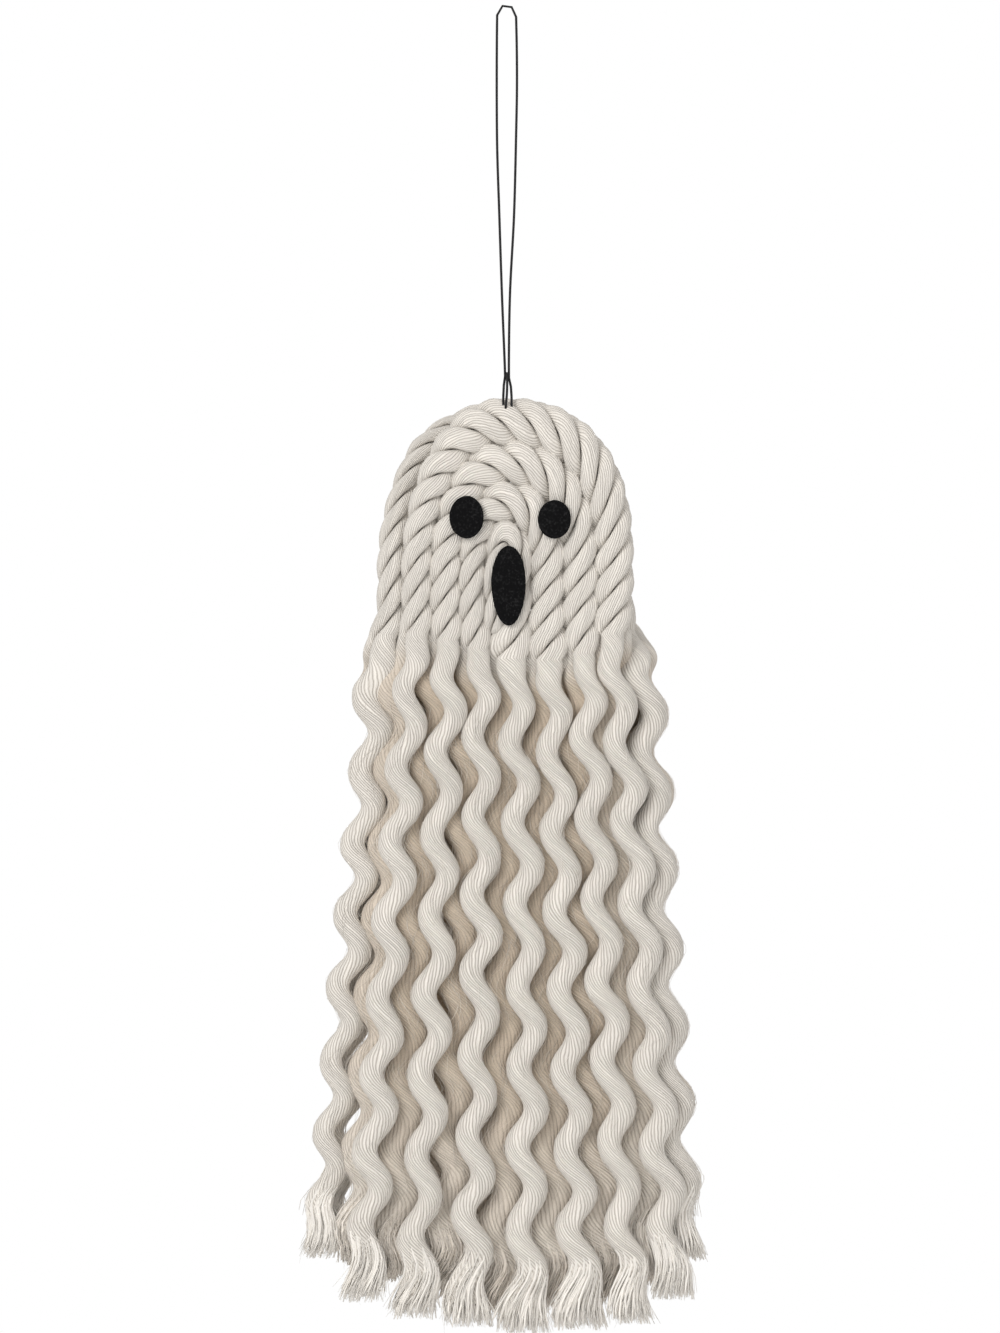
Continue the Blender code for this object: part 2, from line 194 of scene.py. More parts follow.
@dataclass(frozen=True)
class FringeSizes:
    """Sizes of the nine legs and their free strands, in metres."""

    strand_width: float = 0.0070
    layer_pitch: float = 0.0067
    front_layer_y: float = -0.0069
    middle_shifts: tuple[float, ...] = (0.0035, 0.0035, 0.0035, 0.0035, 0.0035, 0.0035, 0.0035,
                                        0.0035, 0.0012)
    rear_shifts: tuple[float, ...] = (-0.0008, 0.0012, 0.0012, 0.0012, 0.0012, 0.0012, 0.0012,
                                      -0.0012, 0.0012)
    parting_share: float = 0.3
    spread_length: float = 0.0500
    wave_height: float = 0.0030
    wave_depth: float = 0.0011
    wave_delay: float = 0.0010
    wave_growth: float = 0.0160
    height_variation: float = 0.10
    phase_variation: float = 0.16
    tip_calm: float = 0.75
    calm_height: float = 0.030
    calm_length: float = 0.028
    tail_width: float = 0.0077
    front_swell: float = 0.0007
    front_slimness: float = 0.05
    upper_swell: float = 0.0011
    neck_swell: float = 0.0030
    back_swell: float = 0.0020
    # Each fade has a start and a length down the leg
    upper_fade: tuple[float, float] = (0.045, 0.120)
    neck_fade: tuple[float, float] = (0.004, 0.026)
    back_growth: float = 0.8
    back_growth_fade: tuple[float, float] = (0.12, 0.10)
    width_variation: float = 0.05
    slope_widening: float = 0.85
    brush_length: float = 0.0340
    brush_flattening: float = 0.20
    brush_widths: tuple[float, ...] = (0.0116, 0.0138, 0.0174, 0.0174, 0.0180, 0.0186, 0.0140,
                                       0.0132, 0.0108)
    back_brush_share: float = 0.92
    back_shortening: float = 0.0120
    neck_drop: float = 0.0271
    middle_drop: float = 0.1119
    end_drop: float = 0.2440
    first_leg_x: Triple = (-0.0431, -0.0514, -0.0651)
    gaps_neck: tuple[float, ...] = (0.0049, 0.0045, 0.0035, 0.0042, 0.0052, 0.0052, 0.0025, 0.0023)
    gaps_middle: tuple[float, ...] = (0.0061, 0.0079, 0.0076, 0.0076, 0.0062, 0.0055, 0.0059,
                                      0.0002)
    gaps_end: tuple[float, ...] = (0.0093, 0.0110, 0.0109, 0.0120, 0.0113, 0.0103, 0.0072, -0.0015)
    tip_drops: tuple[float, ...] = (0.2332, 0.2475, 0.2532, 0.2559, 0.2587, 0.2570, 0.2549, 0.2468,
                                    0.2342)
    wave_lengths: tuple[float, ...] = (0.0246, 0.0261, 0.0273, 0.0270, 0.0275, 0.0270, 0.0275,
                                       0.0275, 0.0264)
    wave_crests: tuple[float, ...] = (0.0800, 0.0793, 0.0756, 0.0698, 0.0725, 0.0756, 0.0709,
                                      0.0729, 0.0753)
    # Sideways shifts of the back strands as shares of the room to the next leg, with side as sign
    middle_shares: tuple[float, ...] = (0.20, -0.22, -0.50, -0.50, -0.50, -0.50, -0.50, -0.50,
                                        0.05)
    rear_shares: tuple[float, ...] = (0.10, 0.25, 0.25, 0.25, 0.25, 0.25, 0.15, -0.20, -0.30)


@dataclass(frozen=True)
class ThreadSizes:
    """One kind of thin thread: how many a leg has, how fine each is and what share of its strand's
    painted shade it takes.

    The stray of a loose yarn is metres at its end, and that of a hair is radians round the strand.
    """

    count: int
    sides: int
    steps: int
    radius: float
    stray: float
    shade_share: float


@dataclass(frozen=True)
class FraySizes:
    """How the loose yarns of a brush lie, in metres or as shares of the brush."""

    least_spread: float = 0.10
    end_mean: float = -0.0016
    end_scatter: float = 0.0013
    end_lobe: float = 0.0010
    lobes_round: float = 3.0
    end_limit: float = 0.0006
    start_shares: tuple[float, float] = (0.42, 1.00)
    twist: float = 0.7
    root_reach: float = 0.84
    reach_gain: float = 0.14
    kink: float = 0.0004
    kink_turn: float = 9.0


@dataclass(frozen=True)
class HairSizes:
    """How the fine fibres stand off a strand, in metres."""

    lengths: tuple[float, float] = (0.004, 0.014)
    tip_clearance: float = 0.008
    least_lift: float = 0.0003
    front_lift: float = 0.0008
    back_lift: float = 0.0022
    bow_start: float = 0.15
    bow_span: float = 0.75
    sunk: float = 0.0002
    depth_share: float = 0.6
    curl: float = 0.0003
    curl_turn: float = 7.0


@dataclass(frozen=True)
class ShadeShares:
    """How much painted shade, warmer and darker, a strand's colour gets where it lies behind
    others.
    """

    middle_layer: float = 0.75
    outermost_leg: float = 0.45
    second_leg: float = 0.70
    tip_lightening: float = 0.72
    tip_length: float = 0.095
    neck_length: float = 0.014
    thread_drop: float = 0.2


@dataclass(frozen=True)
class YarnSizes:
    """How finely the strands are made, and the yarns in them."""

    around: int = 32
    ring_spacing: float = 0.0014
    yarns_round: int = 26
    laid_turn_length: float = -0.0215
    free_turn_length: float = -0.0520
    turn_lead: float = 0.02
    turn_change: float = 0.03
    tip_margin: float = 0.0070
    tip_fade: float = 0.024
    tip_flattening: float = 0.46
    tip_narrowing: float = 0.16
    ragged_length: float = 0.009
    jag_spread: float = 0.0013
    jag_limit: float = 0.0024
    thick: ThreadSizes = ThreadSizes(count=90, sides=4, steps=7, radius=0.00050, stray=0.0008,
                                     shade_share=0.7)
    thin: ThreadSizes = ThreadSizes(count=190, sides=3, steps=5, radius=0.00022, stray=0.0016,
                                    shade_share=0.6)
    front_hairs: ThreadSizes = ThreadSizes(count=130, sides=3, steps=4, radius=0.000085,
                                           stray=0.7, shade_share=0.6)
    back_hairs: ThreadSizes = ThreadSizes(count=500, sides=3, steps=4, radius=0.000085,
                                          stray=0.7, shade_share=0.6)
    fray: FraySizes = FraySizes()
    hair: HairSizes = HairSizes()
    shade: ShadeShares = ShadeShares()


class Fringe:
    """Places of the nine legs, which the free strands hang from."""

    PHASE_SEED: float = 3.0

    def __init__(self, head: HeadSizes, sizes: FringeSizes) -> None:
        """Work out the legs' centres at the neck, in the middle and at the end.

        Args:
            head: Sizes of the arches that the legs come from.
            sizes: Sizes of the legs.
        """
        self.head = head
        self.sizes = sizes
        self.levels = (sizes.neck_drop, sizes.middle_drop, sizes.end_drop)
        self.rows = []
        all_gaps = (sizes.gaps_neck, sizes.gaps_middle, sizes.gaps_end)
        for first, gaps in zip(sizes.first_leg_x, all_gaps):
            steps = np.array(gaps) + sizes.strand_width
            self.rows.append(np.concatenate(([first], first + np.cumsum(steps))))
        self.count = len(sizes.tip_drops)

    def leg_x(self, leg: int, drop: float) -> float:
        """Centre of a leg, on the parabola through its three heights.

        Args:
            leg: Leg from the left.
            drop: Distance below the arches' spring line.

        Returns:
            The centre along X.
        """
        x = 0.0
        for i, level in enumerate(self.levels):
            weight = 1.0
            for other in self.levels[:i] + self.levels[i + 1:]:
                weight *= (drop - other) / (level - other)
            x += weight * self.rows[i][leg]
        return x

    def leg_half_width(self, leg: int, drop: float) -> float:
        """Half of the room that a leg has beside its neighbours in the same row.

        Args:
            leg: Leg from the left.
            drop: Distance below the spring line.

        Returns:
            Half of the smaller distance to an inner neighbour.
        """
        here = self.leg_x(leg, drop)
        row = [i for i in (leg - 1, leg + 1) if 0 < i < self.count - 1]
        return min(abs(self.leg_x(i, drop) - here) for i in row) / 2

    def shift(self, leg: int, share: float, start: float, drop: float) -> float:
        """Sideways shift of a strand from its leg.

        Args:
            leg: Leg from the left.
            share: Share of the room to the next leg that the shift grows to, with its side as sign.
            start: Shift where the strand comes free.
            drop: Distance below the arches' spring line.

        Returns:
            The shift along X.
        """
        side = 1 if share > 0 else -1
        other = leg + side if 0 <= leg + side < self.count else leg - side
        room = abs(self.leg_x(other, drop) - self.leg_x(leg, drop))
        apart = self.head.laid_drops[leg] + self.sizes.parting_share * self.head.unlay_length
        spread = ease((drop - apart) / self.sizes.spread_length)
        return side * start + (share * room - side * start) * spread

    def wave(self, leg: int, drop: float, seed: float) -> Triple:
        """Wave of a leg's strands.

        Args:
            leg: Leg from the left.
            drop: Distance below the spring line.
            seed: Number that sets the strand's wavering apart.

        Returns:
            Offset in X, offset in Y and the slope in X.
        """
        sizes = self.sizes
        start = self.head.laid_drops[leg] + sizes.wave_delay
        growth = ease((drop - start) / sizes.wave_growth)
        below_calm = drop - sizes.tip_drops[leg] + sizes.calm_height
        growth *= 1.0 - sizes.tip_calm * ease(below_calm / sizes.calm_length)
        uneven = 1.0 + sizes.height_variation * wander(drop, seed)
        height = sizes.wave_height * growth * uneven
        length = sizes.wave_lengths[leg]
        phase = 2 * math.pi * (drop - sizes.wave_crests[leg]) / length
        phase += sizes.phase_variation * wander(drop, seed + self.PHASE_SEED)
        slope = 2 * math.pi * height / length * math.sin(phase)
        return height * math.cos(phase), sizes.wave_depth * growth * math.sin(phase), slope

    def tip_drop(self, leg: int, strand: int) -> float:
        """Length of a strand below the spring line."""
        shorter = self.sizes.back_shortening * strand / 2 if strand else 0.0
        return self.sizes.tip_drops[leg] - shorter


class RopePath:
    """One rope: down-left leg, arch, down-right leg, as one distance along it."""

    ARCH_STATIONS: int = 361

    def __init__(self, index: int, legs: tuple[int | None, int], ropes: int, head: HeadSizes,
                 fringe: Fringe) -> None:
        """Measure the rope's arch.

        Args:
            index: Rope, with 0 the outermost.
            legs: Leg on each side, or None for a cut end.
            ropes: How many ropes there are.
            head: Sizes of the arches.
            fringe: Places of the legs.
        """
        self.index = index
        self.legs = legs
        self.head = head
        self.fringe = fringe
        self.outermost = index == 0
        self.level = ropes - 0.5 - index
        self.edges = np.arange(ropes + 1)
        self.left = np.concatenate(([0.0], np.cumsum(head.widths_left)))
        self.right = np.concatenate(([0.0], np.cumsum(head.widths_right)))
        self.top = head.inner_rise + np.concatenate(([0.0], np.cumsum(head.widths_top)))
        self.turns = np.linspace(0.0, math.pi, self.ARCH_STATIONS)
        points = np.array([self.arch_point(t, self.level_at(t)) for t in self.turns])
        steps = np.hypot(*np.diff(points, axis=0).T)
        self.lengths = np.concatenate(([0.0], np.cumsum(steps)))
        self.arch = float(self.lengths[-1])
        self.start = -head.cut_end_drop if legs[0] is None else -head.laid_drops[legs[0]]
        self.end = self.arch + head.laid_drops[legs[1]]
        self.lays = max(1, round((self.end - self.start) / head.lay_length))

    def arch_point(self, turn: float, level: float) -> tuple[float, float]:
        """Point of the head on one edge level of the arches.

        Args:
            turn: Angle from the left spring (0) to the right one (pi).
            level: Level among the ropes' edges, counted from the innermost.

        Returns:
            The point's X and Z.
        """
        head = self.head
        bend = head.squareness_right - head.squareness_left
        power = 2.0 / (head.squareness_left + bend * ease(turn / math.pi))
        across = math.cos(turn)
        reach = self.left if across > 0 else self.right
        x = -math.copysign(abs(across) ** power, across) * np.interp(level, self.edges, reach)
        rise = np.interp(level, self.edges, self.top) * max(math.sin(turn), 0.0) ** power
        return float(x), float(head.spring_z + rise)

    def level_at(self, turn: float) -> float:
        """Which edge level the rope's centre follows.

        Args:
            turn: Angle from the left spring.

        Returns:
            The level.
        """
        if not self.outermost:
            return self.level
        head = self.head
        share = (turn - head.step_back_end) / (head.pass_behind_end - head.step_back_end)
        return self.level - head.pass_behind_shift * ease(share)

    def depth_at(self, turn: float) -> float:
        """Y of the rope's centre in the laid part.

        Args:
            turn: Angle from the left spring.

        Returns:
            The place in depth.
        """
        if not self.outermost:
            return 0.0
        head = self.head
        behind = head.rope_depth + head.behind_gap
        return head.step_back + (behind - head.step_back) * ease(turn / head.step_back_end)

    def angle(self, along: float, strand: int) -> float:
        """Direction of a strand round the rope's centre."""
        share = min(max((along - self.start) / (self.end - self.start), 0.0), 1.0)
        return -math.pi / 2 + 2 * math.pi * (self.lays * share + strand / 3)

    def leg_at(self, along: float) -> int | None:
        """Leg that a place along the rope belongs to, if any."""
        return self.legs[0] if along < self.arch / 2 else self.legs[1]

    def across(self, along: float, side: float) -> np.ndarray:
        """Point on the rope's middle plane.

        Args:
            along: Distance along the rope.
            side: Outer edge (-1), centre (0) or inner edge (1).

        Returns:
            The point.
        """
        head = self.head
        turn = float(np.interp(along, self.lengths, self.turns))
        level = self.level_at(turn)
        inset = (0.5 + head.rope_overlap / head.level_width) * side
        drop = max(-along, along - self.arch, 0.0)
        x, z = self.arch_point(turn, level - inset)
        leg = self.leg_at(along)
        if drop > 0.0 and leg is not None:
            inwards = 1.0 if along < 0.0 else -1.0
            half = self.fringe.leg_half_width(leg, drop) + head.rope_overlap
            neck = self.fringe.sizes.neck_drop
            share = ease((drop - neck / 3) / neck)
            x += (self.fringe.leg_x(leg, drop) + inwards * side * half - x) * share
            if self.legs[0] is None:
                grown, shrunk = (ease((drop - start) / length)
                                 for start, length in zip(head.swell_drops, head.swell_fades))
                x -= head.last_leg_swell * max(side, 0.0) * (grown * (1.0 - shrunk))
        return np.array((x, self.depth_at(turn), z - drop))

    def section(self, along: float, u: np.ndarray, v: np.ndarray) -> np.ndarray:
        """Points of the laid rope's section.

        Args:
            along: Distance along the rope.
            u: Places across the rope, from -1 outside to 1 inside.
            v: Places in depth, from -1 in front to 1 behind.

        Returns:
            One point a row.
        """
        outer, centre, inner = (self.across(along, side) for side in (-1.0, 0.0, 1.0))
        inwards = np.where(u > 0, u, 0.0)[:, None]
        outwards = np.where(u < 0, -u, 0.0)[:, None]
        points = centre + (inner - centre) * inwards + (outer - centre) * outwards
        points[:, 1] += v * self.head.rope_depth / 2
        return points


class StrandSection:
    """Corners of one strand's section: pressed into a third of the rope, or round once free."""

    PRESSED: tuple[tuple[float, float], ...] = (
        (0.05, 0.0), (0.33, -52.0), (0.58, -55.0), (0.79, -45.0), (0.94, -26.0),
        (1.0, 0.0), (0.94, 26.0), (0.79, 45.0), (0.58, 55.0), (0.33, 52.0))
    STEPS_BETWEEN: int = 24

    def __init__(self, corners: int) -> None:
        """Spread the corners evenly along a smooth closed curve.

        Args:
            corners: How many corners a section has.
        """
        knots = np.array([(r * math.cos(math.radians(a)), r * math.sin(math.radians(a)))
                          for r, a in self.PRESSED])
        count = len(knots)
        dense = []
        for i in range(count):
            a, b, c, d = (knots[(i + k) % count] for k in (-1, 0, 1, 2))
            for share in np.linspace(0.0, 1.0, self.STEPS_BETWEEN, endpoint=False):
                dense.append(smooth_point(a, b, c, d, share))
        self.pressed = even_points(np.array(dense + [dense[0]]), corners, closed=True)
        self.round_angles = math.pi + 2 * math.pi * np.arange(corners) / corners


class Strand:
    """One strand of a rope, from its left end to its right tip."""

    ROPE_SEED_STEP: float = 10.0
    STRAND_SEED_STEP: float = 3.7
    WIDTH_SEED: float = 6.0
    JAG_SEED: int = 40

    def __init__(self, rope: RopePath, number: int, section: StrandSection,
                 yarns: YarnSizes) -> None:
        """Keep what the strand is made from.

        Args:
            rope: Rope that the strand is laid into.
            number: Strand of the rope, with 0 the one that hangs in front.
            section: Shape of its section.
            yarns: How finely it is made.
        """
        self.rope = rope
        self.number = number
        self.section = section
        self.yarns = yarns
        self.fringe = rope.fringe
        self.seed = self.ROPE_SEED_STEP * rope.index + self.STRAND_SEED_STEP * number
        randoms = np.random.default_rng(self.JAG_SEED + 10 * rope.index + number)
        self.jags = np.clip(randoms.normal(0.0, yarns.jag_spread, yarns.around),
                            -yarns.jag_limit, yarns.jag_limit)

    @property
    def name(self) -> str:
        """Name of the strand's solid."""
        return f"rope_{self.rope.index + 1}_strand_{self.number + 1}"

    def layer(self, leg: int) -> Layer:
        """Layer that the strand hangs in.

        Args:
            leg: One of the strand's legs.

        Returns:
            The layer on that leg.
        """
        if self.number == 0:
            return Layer.FRONT
        side = 1 if (self.number == 1) == (leg == self.rope.legs[0]) else -1
        return Layer.MIDDLE if side * self.fringe.sizes.middle_shares[leg] > 0 else Layer.REAR

    def inner(self, leg: int) -> bool:
        """Whether a leg has others on both sides."""
        return 0 < leg < self.fringe.count - 1

    def place(self, leg: int, drop: float) -> tuple[float, float]:
        """Centre of the free strand without its wave.

        Args:
            leg: Leg that the strand hangs on.
            drop: Distance below the spring line.

        Returns:
            The centre's X and Y.
        """
        sizes = self.fringe.sizes
        layer = self.layer(leg)
        shift = 0.0
        if layer is Layer.MIDDLE:
            shift = self.fringe.shift(leg, sizes.middle_shares[leg], sizes.middle_shifts[leg], drop)
        if layer is Layer.REAR:
            shift = self.fringe.shift(leg, sizes.rear_shares[leg], sizes.rear_shifts[leg], drop)
        behind = layer.value + (1 if self.rope.outermost else 0)
        y = sizes.front_layer_y + behind * sizes.layer_pitch
        return self.fringe.leg_x(leg, drop) + shift, y

    def free_size(self, leg: int, drop: float) -> tuple[float, float]:
        """Size of the free strand's section at a height.

        Args:
            leg: Leg that the strand hangs on.
            drop: Distance below the spring line.

        Returns:
            Half width and half depth.
        """
        sizes = self.fringe.sizes
        head = self.rope.head
        upper_start, upper_length = sizes.upper_fade
        upper = 1.0 - ease((drop - upper_start) / upper_length)
        neck_start, neck_length = sizes.neck_fade
        neck = 1.0 - ease((drop - head.laid_drops[leg] - neck_start) / neck_length)
        behind = self.layer(leg) is not Layer.FRONT and self.inner(leg)
        in_front = self.layer(leg) is Layer.FRONT and self.inner(leg)
        swell = sizes.front_slimness if in_front else 1.0
        full = sizes.tail_width + swell * sizes.upper_swell * upper
        tip = sizes.brush_widths[leg]
        thicker = 0.0
        if in_front:
            full += sizes.front_swell * (1.0 - upper)
        if behind:
            tip *= sizes.back_brush_share
            start, length = sizes.back_growth_fade
            thicker = sizes.back_swell * (1.0 + sizes.back_growth * ease((drop - start) / length))
        uneven = 1.0 + sizes.width_variation * wander(drop, self.seed + self.WIDTH_SEED)
        half = full / 2 * uneven
        brush = ease(1.0 - (self.fringe.tip_drop(leg, self.number) - drop) / sizes.brush_length)
        slope = self.fringe.wave(leg, drop, self.seed)[2]
        wide = half + (swell * sizes.neck_swell * neck + thicker) / 2
        wide *= math.hypot(1.0, sizes.slope_widening * slope)
        wide = wide * (1 - brush) + tip / 2 * brush
        return wide, half * (1.0 - sizes.brush_flattening * brush)

    def leg_ring(self, leg: int, along: float) -> np.ndarray:
        """Section where the leg comes apart or hangs free.

        Args:
            leg: Leg that the section is on.
            along: Distance along the rope.

        Returns:
            The section's corners.
        """
        rope = self.rope
        yarns = self.yarns
        head = rope.head
        left_leg = along < 0.0
        drop = -along if left_leg else along - rope.arch
        inwards = 1.0 if left_leg else -1.0
        apart = ease((drop - head.laid_drops[leg]) / head.unlay_length)
        laid = self.laid_ring(along)
        wave_x, wave_y, _ = self.fringe.wave(leg, drop, self.seed)
        wide, deep = self.free_size(leg, drop)
        x, y = self.place(leg, drop)
        turns = self.section.round_angles + rope.angle(along, self.number)
        end = self.fringe.tip_drop(leg, self.number) - yarns.tip_margin
        thinner = ease((drop - end + yarns.tip_fade) / yarns.tip_fade)
        deep *= 1.0 - yarns.tip_flattening * thinner
        wide *= 1.0 - yarns.tip_narrowing * thinner
        ragged = self.jags * ease((drop - end + yarns.ragged_length) / yarns.ragged_length)
        free = np.column_stack((x + inwards * wide * np.cos(turns),
                                y + deep * np.sin(turns),
                                head.spring_z - drop - ragged))
        return laid + (free - laid) * apart + np.array((wave_x, wave_y, 0.0))

    def laid_ring(self, along: float) -> np.ndarray:
        """Section in the laid rope.

        Args:
            along: Distance along the rope.

        Returns:
            The section's corners.
        """
        rope = self.rope
        head = rope.head
        cut = 1.0
        if rope.legs[0] is None:
            rounding = min(max((along - rope.start) / head.cut_end_taper, 0.0), 1.0)
            grown = math.sqrt(1.0 - (1.0 - rounding) ** 2)
            cut = head.cut_end_share + (1.0 - head.cut_end_share) * grown
        angle = rope.angle(along, self.number)
        swell = 1.0 + head.laid_variation * wander(along, self.seed)
        u, v = self.section.pressed.T * cut * swell
        return rope.section(along, np.clip(u * math.cos(angle) - v * math.sin(angle), -1, 1),
                            u * math.sin(angle) + v * math.cos(angle))

    def stations(self) -> np.ndarray:
        """Places of the strand's sections.

        Returns:
            Distances along the rope.
        """
        left, right = self.rope.legs
        short = self.yarns.tip_margin
        start = self.rope.start
        if left is not None:
            start = -(self.fringe.tip_drop(left, self.number) - short)
        end = self.rope.arch + self.fringe.tip_drop(right, self.number) - short
        return np.linspace(start, end, round((end - start) / self.yarns.ring_spacing) + 1)

    def rings(self) -> tuple[np.ndarray, np.ndarray, np.ndarray]:
        """All sections of the strand.

        Returns:
            The sections, how far the yarns have turned at each, and the length at each.
        """
        yarns = self.yarns
        stations = self.stations()
        rings = []
        for along in stations:
            leg = self.rope.leg_at(along)
            inside = self.rope.start <= along <= self.rope.end
            laid_here = inside or leg is None
            rings.append(self.laid_ring(along) if laid_here else self.leg_ring(leg, along))
        rings = np.array(rings)
        centres = rings.mean(axis=1)
        steps = np.linalg.norm(np.diff(centres, axis=0), axis=1)
        lengths = np.concatenate(([0.0], np.cumsum(steps)))
        laid = np.array([ease((a - self.rope.start + yarns.turn_lead) / yarns.turn_change)
                         * ease((self.rope.end + yarns.turn_lead - a) / yarns.turn_change)
                         for a in stations])
        rate = laid / yarns.laid_turn_length + (1 - laid) / yarns.free_turn_length
        steps = np.diff(stations) * (rate[1:] + rate[:-1]) / 2
        return rings, -np.concatenate(([0.0], np.cumsum(steps))), lengths

    def loose_yarn(self, leg: int, thread: ThreadSizes,
                   randoms: np.random.Generator) -> np.ndarray:
        """Path of one yarn that frays out of a tip.

        Args:
            leg: Leg that the tip is on.
            thread: How many steps the path has and how far its end strays.
            randoms: Seeded source of chance.

        Returns:
            Points down the yarn.
        """
        fringe = self.fringe
        fray = self.yarns.fray
        brush = fringe.sizes.brush_length
        tip = fringe.tip_drop(leg, self.number)
        spread = math.sqrt(randoms.uniform(fray.least_spread, 1.0))
        turn = randoms.uniform(0.0, 2 * math.pi)
        longer = randoms.normal(fray.end_mean, fray.end_scatter)
        longer += fray.end_lobe * math.sin(fray.lobes_round * turn)
        end = tip + min(longer, fray.end_limit)
        drift = randoms.normal(0.0, thread.stray, 2)
        curl = randoms.uniform(0.0, 2 * math.pi)
        start = tip - randoms.uniform(*fray.start_shares) * brush
        path = []
        for share in np.linspace(0.0, 1.0, thread.steps + 1):
            drop = start + (end - start) * share
            wide, deep = self.free_size(leg, min(drop, tip))
            wave_x, wave_y, _ = fringe.wave(leg, drop, self.seed)
            x, y = self.place(leg, drop)
            twist = turn - fray.twist * share
            away = share * share
            reach = spread * (fray.root_reach + fray.reach_gain * share)
            x += wave_x + reach * wide * math.cos(twist) + away * drift[0]
            y += wave_y + reach * deep * math.sin(twist) + away * drift[1]
            x += fray.kink * away * math.sin(fray.kink_turn * share + curl)
            path.append((x, y, self.rope.head.spring_z - drop))
        return np.array(path)

    def stray_hair(self, leg: int, thread: ThreadSizes,
                   randoms: np.random.Generator) -> np.ndarray:
        """Path of one fine fibre that stands off a free strand.

        Args:
            leg: Leg that the fibre is on.
            thread: How many steps the path has and how far it swings round the strand.
            randoms: Seeded source of chance.

        Returns:
            Points down the fibre.
        """
        fringe = self.fringe
        hair = self.yarns.hair
        deep_inside = self.layer(leg) is not Layer.FRONT and self.inner(leg)
        top = self.rope.head.laid_drops[leg] + self.rope.head.unlay_length
        length = randoms.uniform(*hair.lengths)
        start = randoms.uniform(top, fringe.tip_drop(leg, self.number) - hair.tip_clearance)
        turn = randoms.uniform(0.0, 2 * math.pi)
        lift = randoms.uniform(hair.least_lift, hair.back_lift if deep_inside else hair.front_lift)
        curl = randoms.uniform(0.0, 2 * math.pi)
        swing = randoms.normal(0.0, thread.stray)
        path = []
        for share in np.linspace(0.0, 1.0, thread.steps + 1):
            drop = start + length * share
            wide, deep = self.free_size(leg, drop)
            wave_x, wave_y, _ = fringe.wave(leg, drop, self.seed)
            x, y = self.place(leg, drop)
            bow = lift * math.sin(math.pi * (hair.bow_start + hair.bow_span * share)) - hair.sunk
            angle = turn + swing * share
            sway = hair.curl * math.sin(hair.curl_turn * share + curl)
            x += wave_x + (wide + bow) * math.cos(angle) + sway
            y += wave_y + (deep + hair.depth_share * bow) * math.sin(angle)
            path.append((x, y, self.rope.head.spring_z - drop))
        return np.array(path)

    def shades(self) -> np.ndarray:
        """How much painted shade the strand's colour gets at each section, by how deep among the
        others it lies.

        Returns:
            Values from 0 in front to 1 at the back.
        """
        values = []
        for along in self.stations():
            leg = self.rope.leg_at(along)
            drop = max(-along, along - self.rope.arch, 0.0)
            values.append(self.shade_at(leg, drop))
        return np.array(values)

    def shade_at(self, leg: int | None, drop: float) -> float:
        """How much painted shade the strand's colour gets at a height, by how deep among the others
        it lies and less towards the tip.

        Args:
            leg: Leg that the height is on, or None in the arch.
            drop: Distance below the spring line.

        Returns:
            A value from 0 in front to 1 at the back.
        """
        if leg is None or self.layer(leg) is Layer.FRONT:
            return 0.0
        shade = self.yarns.shade
        full = shade.middle_layer if self.layer(leg) is Layer.MIDDLE else 1.0
        if not self.inner(leg):
            full *= shade.outermost_leg
        elif leg in (1, self.fringe.count - 2):
            full *= shade.second_leg
        to_tip = self.fringe.tip_drop(leg, self.number) - drop
        lighter_tip = shade.tip_lightening * ease(1.0 - to_tip / shade.tip_length)
        free = ease((drop - self.rope.head.laid_drops[leg]) / shade.neck_length)
        return full * free * (1.0 - lighter_tip)


@dataclass(frozen=True)
class CottonFinish:
    """Undyed cotton: fine yarns, with painted shade, warmer and darker, where light gets lost
    between the layers, painted shade in the grooves between yarns and painted light on the loose
    yarn ends.
    """

    light: Colour = (0.846, 0.811, 0.760)
    # Lighter colour of the loose yarn ends: painted light that stands in for light coming through
    # the thin cotton.
    tip: Colour = (0.920, 0.890, 0.845)
    # Painted shade: warm dark colour for strands that lie behind others.
    shade: Colour = (0.560, 0.447, 0.328)
    # Painted shade in the grooves between yarns.
    groove_shade: Colour = (0.400, 0.340, 0.270)
    groove_depth: float = 0.00045
    bump_strength: float = 0.80
    roughness: float = 0.95
    gloss: float = 0.15
    sheen: float = 0.20
    sheen_roughness: float = 0.6
    drift_scales: tuple[float, float] = (7.0, 110.0)
    drift_detail: float = 2.0
    drift_reach: float = 1.7
    crown_power: float = 2.6
    nap_scale: float = 2600.0
    streak_scales: tuple[float, float] = (70.0, 75.0)
    streak_detail: float = 3.0
    free_heights: tuple[float, float] = (-0.205, -0.240)
    laid_relief: float = 0.95
    free_relief: float = 0.05
    buried_matting: float = 0.55
    laid_groove: float = 0.32
    free_groove: float = 0.18
    plain_tone: float = 0.70
    yarn_tone: float = 0.14
    streak_tone: float = 0.46
    nap_tone: float = 0.10
    buried_nap_tone: float = 0.70
    buried_darkening: float = 0.35
    free_darkening: float = 0.04
    streak_height: float = 0.5
    nap_height: float = 0.3


@dataclass(frozen=True)
class NapFinish:
    """Dark fibre with a nap of lighter ends."""

    name: str
    base: Colour
    nap: Colour
    roughness: float
    gloss: float
    nap_scale: float
    nap_tones: tuple[float, float] = (0.47, 0.74)
    bump_strength: float = 0.6
    bump_depth: float = 0.0003


@dataclass(frozen=True)
class FeltFinish(NapFinish):
    """Black wool felt with a faint lighter nap."""

    name: str = "black_felt"
    base: Colour = (0.0055, 0.0055, 0.0060)
    nap: Colour = (0.022, 0.022, 0.023)
    roughness: float = 0.95
    gloss: float = 0.05
    nap_scale: float = 1500.0


